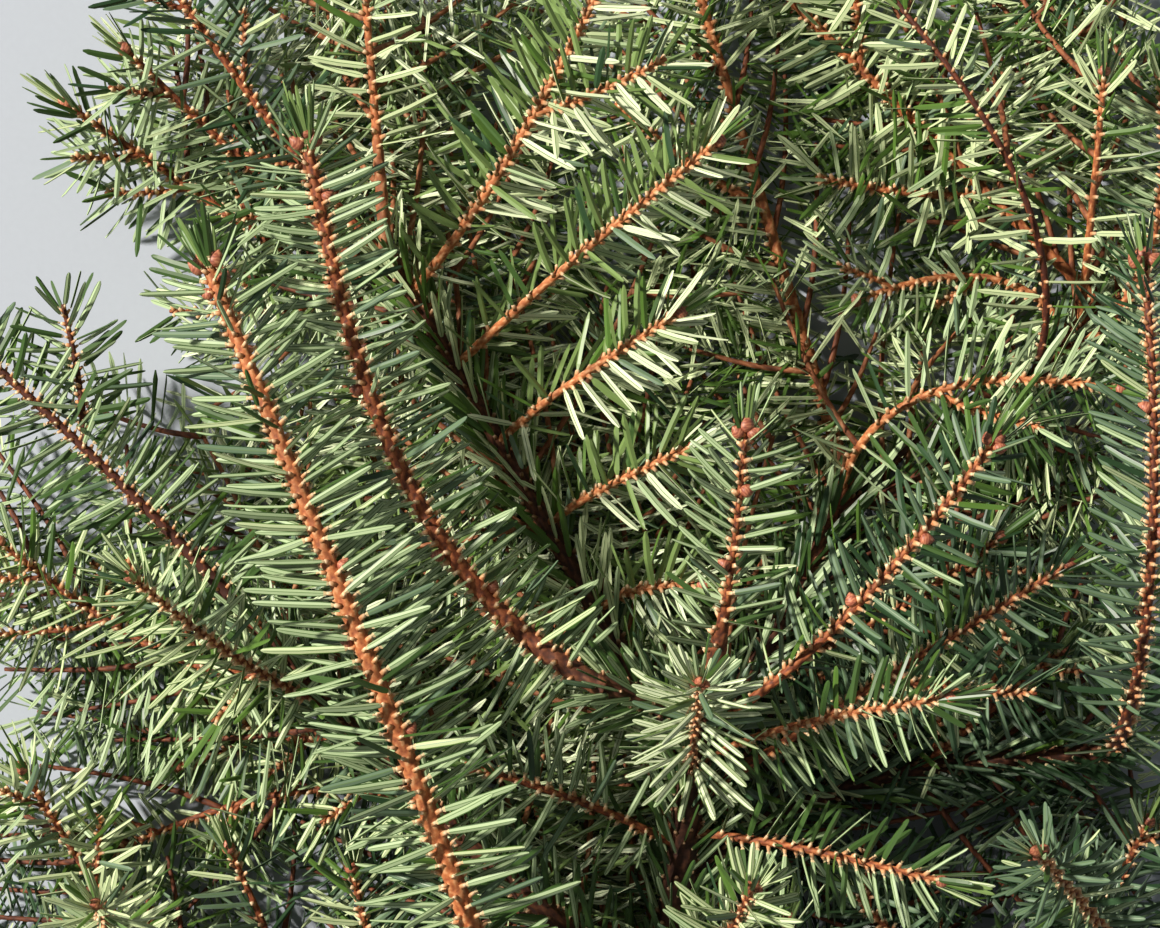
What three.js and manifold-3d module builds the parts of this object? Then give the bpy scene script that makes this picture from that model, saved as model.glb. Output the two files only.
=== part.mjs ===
// A cut branch of Serbian spruce that lies on the ground, in millimetres with +Z up.
// The ground is Z = 0 and the origin is on it, under the middle of the branch. The sawn end faces -Y,
// the tips point to +Y, and every shoot has its parted underside up, where its stem shows.

import * as THREE from 'three';
import { mergeVertices } from 'three/addons/utils/BufferGeometryUtils.js';
import Module from 'manifold-3d';

const wasm = await Module();
wasm.setup();

// Driving dimensions, in millimetres and degrees
const stemFoot = new THREE.Vector3(17.8, -148.1, 3.95);
const sawTrim = 2; // cut off the stem's foot, to leave a flat face square to Y
const sawBlock = 36; // side of the block that is cut away there
const jointGap = 0.3; // between a limb and what grows on it
const limbSides = 8;
const limbStep = 11; // length of one straight stretch of a limb
const twigTaper = 0.65; // a twig's tip radius over its foot radius

const needleLength = 16.5;
const needleLengthJitter = 0.12; // range of a needle's length, as a share of it
const needleSpacing = 2.8; // along a shoot, from one pair of needles to the next
const bareFoot = 4; // of a shoot, past what it grows on
const spreadAtFoot = 78; // angle between a needle and its shoot
const spreadAtTip = 56;
const spreadOfTuft = 34;
const tuftLength = 9; // end of a shoot where the needles close round the bud
const tuftShortening = 0.22; // share by which the needles at the tip are shorter
const sideNeedleAngle = 74; // round the shoot, from its parted underside to a needle at its side
const backNeedleAngle = 142; // and to one on its far side
const backNeedleLean = 12; // the far ones lie this much closer along the shoot
const roundJitter = 8; // range of those two angles
const spreadJitter = 4; // and of the spread
const forwardSteps = [0, 4, 8, 12]; // tried in turn, by a needle that would cross another

const budLength = 4.4;
const budRadius = 1.35;
const budWidestAt = 2.2;
const twigCorners = [60, 180, 300]; // round a twig from its parted underside, which is flat between them

const sideTwigAngle = 48; // between a side twig and its shoot
const sideTwigBend = 14; // by which it swings back along the shoot
const sideTwigLift = 4;
const sideTwigClimbs = [-10, 30]; // least and most slope of its foot
const sideTwigShare = 0.34; // of the shoot's length, for one at the middle of the shoot
const sideTwigTaper = 0.5; // by which that share falls from the shoot's foot to its tip
const sideTwigThickness = 0.7; // of the shoot's radius
const leastTwigLength = 24;
const firstTwigAt = 0.95; // of the even gap between side twigs, and the last one leaves that much free
const twigPlaceJitter = 0.3; // of that gap
const leastTwigHeight = 8;
const leastTwigRoom = 11; // between the lines of two masses
const twigClearance = 4; // between a side twig's line and a limb
const needleRoom = 2.9; // a needle point lies this much nearer to its own mass than to any other
const needleClearance = 1.2; // between a needle's line and a limb
const needleTests = [0.25, 0.45, 0.65, 0.85, 1]; // places along a needle where its room is measured
const leastDivide = 0.4; // from a needle's tip to the side of the next needle on its face
const leastHeight = 0.02; // of a needle's tip over the ground

const sideTwigSeed = 101;
const needleSeed = 501;

// Limbs and shoots share these fields. on: what it grows on. at: how far up that, or its tip.
// heading: direction of the foot seen from above, counter-clockwise from +X. turn: how far that swings
// by the tip, mostly near the foot. climb: slope of the foot. lift: change of that slope by the tip.
const limbPlans = [
  { name: 'main_stem', heading: 91, turn: -9, climb: 21, lift: -2, length: 130, radius: 4.4, tip: 3 },
  { name: 'bough_front_left', on: 'main_stem', at: 32, heading: 134, turn: -3, climb: 62, lift: -32,
    length: 71, radius: 2.9, tip: 2.5 },
  { name: 'bough_front_middle', on: 'main_stem', at: 126, heading: 150, turn: 13, climb: 44, lift: -23,
    length: 28, radius: 2.6, tip: 2.4 },
  { name: 'bough_back', on: 'main_stem', at: 114, heading: 121, turn: -1, climb: -24, lift: 37,
    length: 128, radius: 2.6, tip: 1.6 },
  { name: 'bough_left', on: 'main_stem', at: 62, heading: 142, turn: -8, climb: 31, lift: -47,
    length: 122, radius: 2.5, tip: 1.6 },
  { name: 'bough_low_left', on: 'main_stem', at: 19, heading: 156, turn: 1, climb: 0, lift: 10,
    length: 119, radius: 2.3, tip: 1.6 },
  { name: 'bough_low_right', on: 'main_stem', at: 88, heading: 45, turn: -41, climb: -44, lift: 81,
    length: 105, radius: 2.3, tip: 1.7 },
  { name: 'bough_corner', on: 'main_stem', at: 43, heading: 11, turn: 5, climb: -17, lift: 41,
    length: 104, radius: 2.3, tip: 1.6 },
  { name: 'bough_right', on: 'main_stem', at: 120, heading: 46, turn: 19, climb: -39, lift: 23,
    length: 72, radius: 2.5, tip: 1.8 },
  { name: 'bough_far_right', on: 'bough_right', at: 65, heading: 10, turn: 42, climb: -11, lift: 17,
    length: 73, radius: 1.9, tip: 1.5 },
];

// Masses of needles, each one shoot. sideTwigs: how many it may branch into.
const shootPlans = [
  { name: 'shoot_front_left', on: 'bough_front_left', heading: 108, turn: 5, climb: 22, lift: -38,
    length: 157, radius: 2.4 },
  { name: 'shoot_front_middle', on: 'bough_front_middle', heading: 152, turn: -51, climb: -2, lift: 5,
    length: 127, radius: 2.3 },
  { name: 'shoot_upright', on: 'main_stem', heading: 76, turn: 9, climb: 48, lift: -45, length: 63,
    radius: 1.6 },
  { name: 'shoot_leaning', on: 'main_stem', at: 123, heading: 32, turn: 20, climb: 29, lift: -29,
    length: 87, radius: 1.7 },
  { name: 'shoot_star_middle', on: 'main_stem', at: 113, heading: 92, turn: -4, climb: 62, lift: 3,
    length: 49, radius: 1.5 },
  { name: 'shoot_level', on: 'main_stem', at: 116, heading: 36, turn: -27, climb: 47, lift: -36,
    length: 60, radius: 1.5 },
  { name: 'shoot_right_inner', on: 'main_stem', at: 107, heading: 34, turn: -2, climb: 2, lift: 5,
    length: 91, radius: 1.5, sideTwigs: 1 },
  { name: 'shoot_right_under', on: 'bough_right', at: 24, heading: 7, turn: 30, climb: -34, lift: 53,
    length: 61, radius: 1.4, sideTwigs: 1 },
  { name: 'shoot_stem_right', on: 'main_stem', at: 101, heading: 358, turn: -11, climb: 24, lift: -13,
    length: 54, radius: 1.4 },
  { name: 'shoot_star_foot', on: 'main_stem', at: 61, heading: 45, turn: 22, climb: 64, lift: -16,
    length: 63, radius: 1.6 },
  { name: 'shoot_stem_left', on: 'main_stem', at: 97, heading: 147, turn: 15, climb: 23, lift: -12,
    length: 48, radius: 1.4 },
  { name: 'shoot_stem_low', on: 'main_stem', at: 78, heading: 179, turn: -14, climb: -10, lift: -2,
    length: 37, radius: 1.4 },
  { name: 'shoot_back_tip', on: 'bough_back', heading: 94, turn: 1, climb: 4, lift: -4, length: 65,
    radius: 1.6 },
  { name: 'shoot_back_right_1', on: 'bough_back', at: 117, heading: 46, turn: 18, climb: 37, lift: -52,
    length: 88, radius: 1.6, sideTwigs: 1 },
  { name: 'shoot_back_right_2', on: 'bough_back', at: 99, heading: 42, turn: -3, climb: 48, lift: -55,
    length: 77, radius: 1.5 },
  { name: 'shoot_back_right_3', on: 'bough_back', at: 81, heading: 43, turn: -11, climb: 56, lift: -54,
    length: 53, radius: 1.4 },
  { name: 'shoot_back_right_4', on: 'bough_back', at: 61, heading: 40, turn: -16, climb: 52, lift: -49,
    length: 39, radius: 1.4 },
  { name: 'shoot_back_right_5', on: 'bough_back', at: 40, heading: 48, turn: -47, climb: 37, lift: -20,
    length: 25, radius: 1.3 },
  { name: 'shoot_back_left_1', on: 'bough_back', at: 95, heading: 143, turn: 3, climb: -29, lift: 53,
    length: 105, radius: 1.5, sideTwigs: 2 },
  { name: 'shoot_back_left_2', on: 'bough_back', at: 112, heading: 144, turn: -8, climb: -21, lift: 46,
    length: 84, radius: 1.5 },
  { name: 'shoot_back_left_3', on: 'bough_back', at: 121, heading: 135, turn: -10, climb: -2, lift: 13,
    length: 82, radius: 1.6 },
  { name: 'shoot_left_tip', on: 'bough_left', heading: 130, turn: 8, climb: 8, lift: -10, length: 88,
    radius: 1.5, sideTwigs: 1 },
  { name: 'shoot_left_under', on: 'bough_left', at: 106, heading: 197, turn: -56, climb: -47, lift: 63,
    length: 77, radius: 1.4, sideTwigs: 2 },
  { name: 'shoot_left_star', on: 'bough_left', at: 96, heading: 157, turn: -20, climb: 35, lift: 4,
    length: 58, radius: 1.4 },
  { name: 'shoot_left_low_1', on: 'bough_left', at: 79, heading: 144, turn: 53, climb: -64, lift: 53,
    length: 62, radius: 1.4, sideTwigs: 2 },
  { name: 'shoot_left_low_2', on: 'bough_left', at: 62, heading: 148, turn: 56, climb: -51, lift: 54,
    length: 90, radius: 1.4, sideTwigs: 2 },
  { name: 'shoot_low_left_star', on: 'bough_low_left', heading: 113, turn: -21, climb: 60, lift: 9,
    length: 40, radius: 1.5 },
  { name: 'shoot_low_left_1', on: 'bough_low_left', at: 78, heading: 111, turn: 1, climb: -6, lift: 33,
    length: 45, radius: 1.4, sideTwigs: 1 },
  { name: 'shoot_low_left_2', on: 'bough_low_left', at: 109, heading: 134, turn: -16, climb: -3, lift: 26,
    length: 56, radius: 1.4 },
  { name: 'shoot_low_left_3', on: 'bough_low_left', at: 58, heading: 100, turn: 2, climb: 11, lift: 8,
    length: 47, radius: 1.4 },
  { name: 'shoot_low_left_4', on: 'bough_low_left', at: 20, heading: 136, turn: -11, climb: 15, lift: 11,
    length: 50, radius: 1.4 },
  { name: 'shoot_low_left_5', on: 'bough_low_left', at: 72, heading: 215, turn: -24, climb: -9, lift: 12,
    length: 41, radius: 1.4 },
  { name: 'shoot_right_edge', on: 'bough_low_right', heading: 82, turn: 10, climb: 73, lift: -99,
    length: 124, radius: 1.7 },
  { name: 'shoot_low_right', on: 'bough_low_right', at: 63, heading: 47, turn: -8, climb: 43, lift: -53,
    length: 41, radius: 1.4, sideTwigs: 1 },
  { name: 'shoot_corner_star', on: 'bough_corner', heading: 125, turn: 9, climb: 55, lift: -2,
    length: 64, radius: 1.5 },
  { name: 'shoot_corner_1', on: 'bough_corner', at: 73, heading: 157, turn: -23, climb: -4, lift: 23,
    length: 38, radius: 1.4, sideTwigs: 1 },
  { name: 'shoot_corner_2', on: 'bough_corner', at: 96, heading: 78, turn: -11, climb: -27, lift: 64,
    length: 36, radius: 1.4 },
  { name: 'shoot_corner_3', on: 'bough_corner', at: 23, heading: 84, turn: -7, climb: 34, lift: -28,
    length: 33, radius: 1.4 },
  { name: 'shoot_corner_4', on: 'bough_corner', at: 62, heading: 286, turn: 58, climb: -17, lift: 27,
    length: 36, radius: 1.4 },
  { name: 'shoot_far_middle', on: 'bough_right', heading: 107, turn: 0, climb: -5, lift: 15,
    length: 114, radius: 1.7, sideTwigs: 3 },
  { name: 'shoot_far_level', on: 'bough_right', at: 69, heading: 87, turn: -95, climb: 35, lift: -38,
    length: 71, radius: 1.5, sideTwigs: 1 },
  { name: 'shoot_far_tip', on: 'bough_far_right', heading: 136, turn: 0, climb: 1, lift: 5, length: 100,
    radius: 1.5, sideTwigs: 2 },
  { name: 'shoot_far_left', on: 'bough_far_right', at: 63, heading: 110, turn: 89, climb: 0, lift: 11,
    length: 51, radius: 1.4 },
  { name: 'shoot_far_right_1', on: 'bough_far_right', at: 67, heading: 91, turn: -5, climb: 46, lift: -43,
    length: 57, radius: 1.4 },
  { name: 'shoot_far_right_3', on: 'bough_far_right', at: 51, heading: 72, turn: 57, climb: 44, lift: -55,
    length: 95, radius: 1.5 },
  { name: 'shoot_far_right_2', on: 'bough_far_right', at: 57, heading: 19, turn: 75, climb: 20, lift: -16,
    length: 69, radius: 1.4 },
];

const oldBark = new THREE.MeshStandardMaterial({ color: 0x6b3a26, roughness: 0.85, metalness: 0 });
const youngBark = new THREE.MeshStandardMaterial({ color: 0x8f4f31, roughness: 0.8, metalness: 0 });
const needleGreen = new THREE.MeshStandardMaterial({ color: 0x5f8068, roughness: 0.55, metalness: 0 });

const { clamp, degToRad, lerp, smoothstep, seededRandom } = THREE.MathUtils;
const up = new THREE.Vector3(0, 0, 1);
const lineSteps = 24; // straight steps in every growth line
const twigFootSteps = 4; // of them are still close to what a side twig grows on

// The line of a limb or twig, which swings and lifts evenly as it grows from its foot
class GrowthLine extends THREE.Curve {
  constructor(foot, plan) {
    super();
    this.plan = plan;
    this.knots = [foot.clone()];
    for (let i = 0; i < lineSteps; i += 1) {
      const step = this.directionAt((i + 0.5) / lineSteps).multiplyScalar(plan.length / lineSteps);
      this.knots.push(this.knots[i].clone().add(step));
    }
  }

  directionAt(t) {
    const { heading, turn, climb, lift } = this.plan;
    const swing = degToRad(heading + turn * (2 * t - t * t));
    const slope = degToRad(climb + lift * t);
    return new THREE.Vector3(Math.cos(swing), Math.sin(swing), Math.tan(slope)).normalize();
  }

  getPoint(t, target = new THREE.Vector3()) {
    const i = clamp(Math.floor(t * lineSteps), 0, lineSteps - 1);
    return target.lerpVectors(this.knots[i], this.knots[i + 1], t * lineSteps - i);
  }

  // under is the side that faces up on this branch
  frameAt(t) {
    const along = this.directionAt(clamp(t, 0, 1));
    const side = along.clone().cross(up).normalize();
    const under = side.clone().cross(along);
    return { along, side, under };
  }

  distanceTo(point) {
    const stretch = new THREE.Line3();
    const nearest = new THREE.Vector3();
    let least = Infinity;
    for (let i = 0; i < lineSteps; i += 1) {
      stretch.set(this.knots[i], this.knots[i + 1]);
      stretch.closestPointToPoint(point, true, nearest);
      least = Math.min(least, nearest.distanceTo(point));
    }
    return least;
  }
}

function footOn(parentLine, plan) {
  return parentLine.getPoint(plan.at === undefined ? 1 : plan.at / parentLine.plan.length);
}

function solidOf(geometry) {
  geometry.deleteAttribute('normal');
  geometry.deleteAttribute('uv');
  const merged = mergeVertices(geometry);
  const mesh = new wasm.Mesh({
    numProp: 3,
    vertProperties: new Float32Array(merged.attributes.position.array),
    triVerts: new Uint32Array(merged.index.array),
  });
  return new wasm.Manifold(mesh);
}

// Drops loose scraps and the inner skin of any sealed hollow
function largestPiece(solid) {
  return solid.decompose().reduce((most, piece) => (piece.volume() > most.volume() ? piece : most));
}

function nodeOf(name, solid, foot, material) {
  const mesh = solid.getMesh();
  const geometry = new THREE.BufferGeometry();
  geometry.setAttribute('position', new THREE.BufferAttribute(mesh.vertProperties, 3));
  geometry.setIndex(new THREE.BufferAttribute(mesh.triVerts, 1));
  geometry.translate(-foot.x, -foot.y, -foot.z);
  geometry.computeVertexNormals();
  const node = new THREE.Mesh(geometry, material);
  node.name = name;
  node.position.copy(foot);
  return node;
}

// A tapering round limb bent along its line, thicker and longer all round by grown
function limbSolid(line, grown = 0) {
  const { length, radius, tip } = line.plan;
  const steps = Math.round(length / limbStep);
  const geometry = new THREE.CylinderGeometry(tip + grown, radius + grown, 1, limbSides, steps);
  geometry.translate(0, 0.5, 0);
  geometry.scale(1, 1 + grown / length, 1);
  const places = geometry.attributes.position;
  const point = new THREE.Vector3();
  for (let i = 0; i < places.count; i += 1) {
    const t = places.getY(i);
    const { side, under } = line.frameAt(t);
    line.getPoint(t, point).addScaledVector(side, places.getX(i)).addScaledVector(under, places.getZ(i));
    places.setXYZ(i, point.x, point.y, point.z);
  }
  return solidOf(geometry);
}

const limbs = new Map();
for (const plan of limbPlans) {
  const foot = plan.on ? footOn(limbs.get(plan.on).line, plan) : stemFoot;
  const line = new GrowthLine(foot, plan);
  limbs.set(plan.name, { line, plan, foot, grown: limbSolid(line, jointGap) });
}

// Cuts a limb or twig clear of what it grows on and of whatever else starts beside it
function clearOfLimbs(solid, ownName = null) {
  let clear = solid;
  for (const [name, limb] of limbs) {
    if (name === ownName) return largestPiece(clear);
    clear = clear.subtract(limb.grown);
  }
  return largestPiece(clear);
}

function limbNode({ line, plan, foot }) {
  const whole = limbSolid(line);
  if (plan.on) return nodeOf(plan.name, clearOfLimbs(whole, plan.name), foot, youngBark);
  const saw = new THREE.BoxGeometry(sawBlock, sawBlock, sawBlock);
  saw.translate(foot.x, foot.y + sawTrim - sawBlock / 2, foot.z);
  return nodeOf(plan.name, largestPiece(whole.subtract(solidOf(saw))), foot, oldBark);
}

// Side twigs leave the shoot by turns to the left and right, and shorten towards its tip
function sideTwigPlans(plan, random) {
  const twigs = [];
  const count = plan.sideTwigs ?? 0;
  const firstSide = random() < 0.5 ? -1 : 1;
  for (let i = 0; i < count; i += 1) {
    const jitter = twigPlaceJitter * (random() - 0.5);
    const share = (i + firstTwigAt + jitter) / (count - 1 + 2 * firstTwigAt);
    const hand = i % 2 === 0 ? firstSide : -firstSide;
    const lengthShare = sideTwigShare * (1 + sideTwigTaper * (0.5 - share));
    twigs.push({
      share,
      heading: plan.heading + plan.turn * (2 * share - share * share) + hand * sideTwigAngle,
      turn: -hand * sideTwigBend,
      climb: clamp(plan.climb + plan.lift * share, ...sideTwigClimbs),
      lift: sideTwigLift,
      length: Math.max(leastTwigLength, plan.length * lengthShare),
      radius: plan.radius * sideTwigThickness,
    });
  }
  return twigs;
}

// How far a shoot runs inside what it grows on
function hiddenLength(parent, plan) {
  if (plan.at === undefined) return 0;
  return lerp(parent.radius, parent.tip, plan.at / parent.length);
}

const masses = shootPlans.map((plan, order) => {
  const parent = limbs.get(plan.on);
  const foot = footOn(parent.line, plan);
  const main = new GrowthLine(foot, plan);
  seededRandom(sideTwigSeed + order);
  const random = () => seededRandom();
  const twigs = sideTwigPlans(plan, random).map((twig) => new GrowthLine(main.getPoint(twig.share), twig));
  return { plan, foot, lines: [main, ...twigs], bareLength: hiddenLength(parent.plan, plan) + bareFoot };
});

function roomAt(point, own) {
  const ownDistance = Math.min(...own.lines.map((line) => line.distanceTo(point)));
  let otherDistance = Infinity;
  for (const mass of masses) {
    if (mass === own) continue;
    for (const line of mass.lines) otherDistance = Math.min(otherDistance, line.distanceTo(point));
  }
  return otherDistance - ownDistance;
}

function clearOfWood(point, room) {
  for (const { line, plan } of limbs.values()) {
    if (line.distanceTo(point) < plan.radius + room) return false;
  }
  return true;
}

// A side twig is skipped where it would come near another mass, a limb or the ground
function hasRoom(line, mass) {
  const others = masses.filter((other) => other !== mass).flatMap((other) => other.lines);
  return line.knots.slice(twigFootSteps).every((knot) => {
    const nearest = Math.min(...others.map((other) => other.distanceTo(knot)));
    return nearest > leastTwigRoom && knot.z > leastTwigHeight && clearOfWood(knot, twigClearance);
  });
}

for (const mass of masses) {
  mass.lines = mass.lines.filter((line, order) => order === 0 || hasRoom(line, mass));
}

// A needle keeps to the space nearest its own mass and clear of the limbs
function fits(root, tip, mass) {
  for (const share of needleTests) {
    const point = root.clone().lerp(tip, share);
    if (roomAt(point, mass) < needleRoom || !clearOfWood(point, needleClearance)) return false;
  }
  return true;
}

// The tip of the needle that stands on one face of the shoot, or null where it has no room.
// hand is 1 on the right and -1 on the left of the parting. A needle that would cross the last one on
// its face leans further forward. Tips rest on the ground, not under it.
function needleTip({ line, t, hand, isBack, mass, random, crossesLast }) {
  const { length } = line.plan;
  const tuft = smoothstep(t * length, length - tuftLength, length);
  const { along, side, under } = line.frameAt(t);
  const angle = isBack ? backNeedleAngle : sideNeedleAngle;
  const round = degToRad(angle + roundJitter * (random() - 0.5));
  const outward = under.clone().multiplyScalar(Math.cos(round));
  outward.addScaledVector(side, hand * Math.sin(round));
  const lean = isBack ? backNeedleLean * (1 - tuft) : 0;
  const openSpread = lerp(lerp(spreadAtFoot, spreadAtTip, t), spreadOfTuft, tuft);
  const spread = openSpread - lean + spreadJitter * (random() - 0.5);
  const reach = needleLength * (1 - tuftShortening * tuft) * (1 + needleLengthJitter * (random() - 0.5));
  const root = line.getPoint(t);
  for (const forward of forwardSteps) {
    const open = degToRad(spread - forward);
    const tip = root.clone().addScaledVector(along, reach * Math.cos(open));
    tip.addScaledVector(outward, reach * Math.sin(open));
    tip.z = Math.max(tip.z, leastHeight);
    if (!crossesLast(tip)) return fits(root, tip, mass) ? tip : null;
  }
  return null;
}

function twigRing(line, t, radius) {
  const { side, under } = line.frameAt(t);
  return twigCorners.map((corner) => {
    const round = degToRad(corner);
    const point = line.getPoint(t).addScaledVector(under, radius * Math.cos(round));
    return point.addScaledVector(side, radius * Math.sin(round));
  });
}

// The corners of a three-sided twig and of the widest part of its bud, ring after ring
function twigPlaces(line, stretches) {
  const { length, radius } = line.plan;
  const places = [];
  for (let i = 0; i <= stretches; i += 1) {
    const t = i / stretches;
    places.push(...twigRing(line, t, radius * lerp(1, twigTaper, t)));
  }
  places.push(...twigRing(line, 1 + budWidestAt / length, budRadius));
  return places;
}

// A twig that ends in a bud. Its flat side is the parting, and each stretch of its other two sides is
// drawn out into one needle, by turns to the side and to the far side.
const handOfFace = [1, -1, 0];

function needledTwig(line, mass, bareLength, random) {
  const { length } = line.plan;
  const stretches = Math.round(length / needleSpacing);
  const places = twigPlaces(line, stretches);
  const faces = [0, 2, 1];
  const lastTips = [null, null];
  const drawOut = (a, b, c, d, tip) => {
    places.push(tip);
    const end = places.length - 1;
    faces.push(a, b, end, b, c, end, c, d, end, d, a, end);
  };
  for (let i = 0; i <= stretches; i += 1) {
    const t = (i + 0.5) / stretches;
    const isNeedled = i < stretches && t * length > bareLength;
    for (let face = 0; face < 3; face += 1) {
      const first = 3 * i + face;
      const next = 3 * i + ((face + 1) % 3);
      const hand = handOfFace[face];
      const isBack = (i + face) % 2 === 0;
      const crossesLast = (tip) => {
        if (!lastTips[face]) return false;
        const across = places[next].clone().sub(places[first]);
        const divide = across.cross(tip.clone().sub(places[first])).normalize();
        return divide.dot(lastTips[face].clone().sub(places[first])) < leastDivide;
      };
      const canGrow = isNeedled && hand !== 0;
      const tip = canGrow ? needleTip({ line, t, hand, isBack, mass, random, crossesLast }) : null;
      if (tip) drawOut(first, next, next + 3, first + 3, tip);
      else faces.push(first, next, next + 3, first, next + 3, first + 3);
      lastTips[face] = tip;
    }
  }
  const budFoot = 3 * (stretches + 1);
  places.push(line.getPoint(1 + budLength / length));
  const budTip = places.length - 1;
  for (let face = 0; face < 3; face += 1) {
    faces.push(budFoot + face, budFoot + ((face + 1) % 3), budTip);
  }
  return solidOf(new THREE.BufferGeometry().setFromPoints(places).setIndex(faces));
}

function massNode(mass) {
  const { plan, foot, lines, bareLength } = mass;
  const [main, ...sideLines] = lines;
  seededRandom(needleSeed + masses.indexOf(mass));
  const random = () => seededRandom();
  let solid = clearOfLimbs(needledTwig(main, mass, bareLength, random));
  for (const line of sideLines) {
    solid = solid.add(needledTwig(line, mass, bareFoot, random));
  }
  return nodeOf(plan.name, largestPiece(solid), foot, needleGreen);
}

const branch = new THREE.Group();
for (const limb of limbs.values()) branch.add(limbNode(limb));
for (const mass of masses) branch.add(massNode(mass));

export default branch;
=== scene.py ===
# A cut branch of Serbian spruce on a pale floor, under a camera that looks straight down.
# Sizes are in millimetres and degrees until a mesh is made, which is in metres.
import math

import bpy
import numpy as np
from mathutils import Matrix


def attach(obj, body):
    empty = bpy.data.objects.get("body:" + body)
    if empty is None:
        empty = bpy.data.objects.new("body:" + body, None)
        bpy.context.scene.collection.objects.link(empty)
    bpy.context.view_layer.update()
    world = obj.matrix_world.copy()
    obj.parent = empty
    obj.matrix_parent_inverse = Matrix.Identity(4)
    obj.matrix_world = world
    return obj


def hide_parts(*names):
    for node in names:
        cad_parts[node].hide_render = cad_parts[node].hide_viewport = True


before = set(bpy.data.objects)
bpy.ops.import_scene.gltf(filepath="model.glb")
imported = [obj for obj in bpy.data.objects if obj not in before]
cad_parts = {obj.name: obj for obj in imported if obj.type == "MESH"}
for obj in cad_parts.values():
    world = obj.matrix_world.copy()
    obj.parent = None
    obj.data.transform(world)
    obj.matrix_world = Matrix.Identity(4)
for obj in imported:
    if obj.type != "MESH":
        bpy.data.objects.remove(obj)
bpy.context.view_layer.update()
mm = 0.001
print("frame loaded")

# the growth rule and its values are those of the solids, so that every twig lies where its solid does
growth = {
    "stemFoot": (17.8, -148.1, 3.95),
    "sawnAt": -146.1,            # the flat saw cut, square to Y
    "lineSteps": 24,
    "twigTaper": 0.65,
    "bareFoot": 4,
    "spreadAtFoot": 78,          # angle between a needle and its shoot
    "spreadAtTip": 56,
    "spreadOfTuft": 34,
    "tuftLength": 9,
    "tuftShortening": 0.22,
    "sideTwigAngle": 48,
    "sideTwigBend": 14,
    "sideTwigLift": 4,
    "sideTwigClimbs": (-10, 30),
    "sideTwigShare": 0.34,
    "sideTwigTaper": 0.5,
    "sideTwigThickness": 0.7,
    "leastTwigLength": 24,
    "firstTwigAt": 0.95,
    "twigPlaceJitter": 0.3,
    "leastTwigHeight": 8,
    "leastTwigRoom": 11,
    "twigClearance": 4,
    "twigFootSteps": 4,
    "sideTwigSeed": 101,
    "woodSearched": 8,           # mm round a limb, where it counts as near
}

# heading and turn lie in the picture's plane, climb and lift out of it; "at" is in mm along what it grows on
limbFields = ("name", "on", "at", "heading", "turn", "climb", "lift", "length", "radius", "tip")
limbRows = [
    ("main_stem", None, None, 91, -9, 21, -2, 130, 4.4, 3),
    ("bough_front_left", "main_stem", 32, 134, -3, 62, -32, 71, 2.9, 2.5),
    ("bough_front_middle", "main_stem", 126, 150, 13, 44, -23, 28, 2.6, 2.4),
    ("bough_back", "main_stem", 114, 121, -1, -24, 37, 128, 2.6, 1.6),
    ("bough_left", "main_stem", 62, 142, -8, 31, -47, 122, 2.5, 1.6),
    ("bough_low_left", "main_stem", 19, 156, 1, 0, 10, 119, 2.3, 1.6),
    ("bough_low_right", "main_stem", 88, 45, -41, -44, 81, 105, 2.3, 1.7),
    ("bough_corner", "main_stem", 43, 11, 5, -17, 41, 104, 2.3, 1.6),
    ("bough_right", "main_stem", 120, 46, 19, -39, 23, 72, 2.5, 1.8),
    ("bough_far_right", "bough_right", 65, 10, 42, -11, 17, 73, 1.9, 1.5),
]
shootFields = ("name", "on", "at", "heading", "turn", "climb", "lift", "length", "radius", "sideTwigs")
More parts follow.
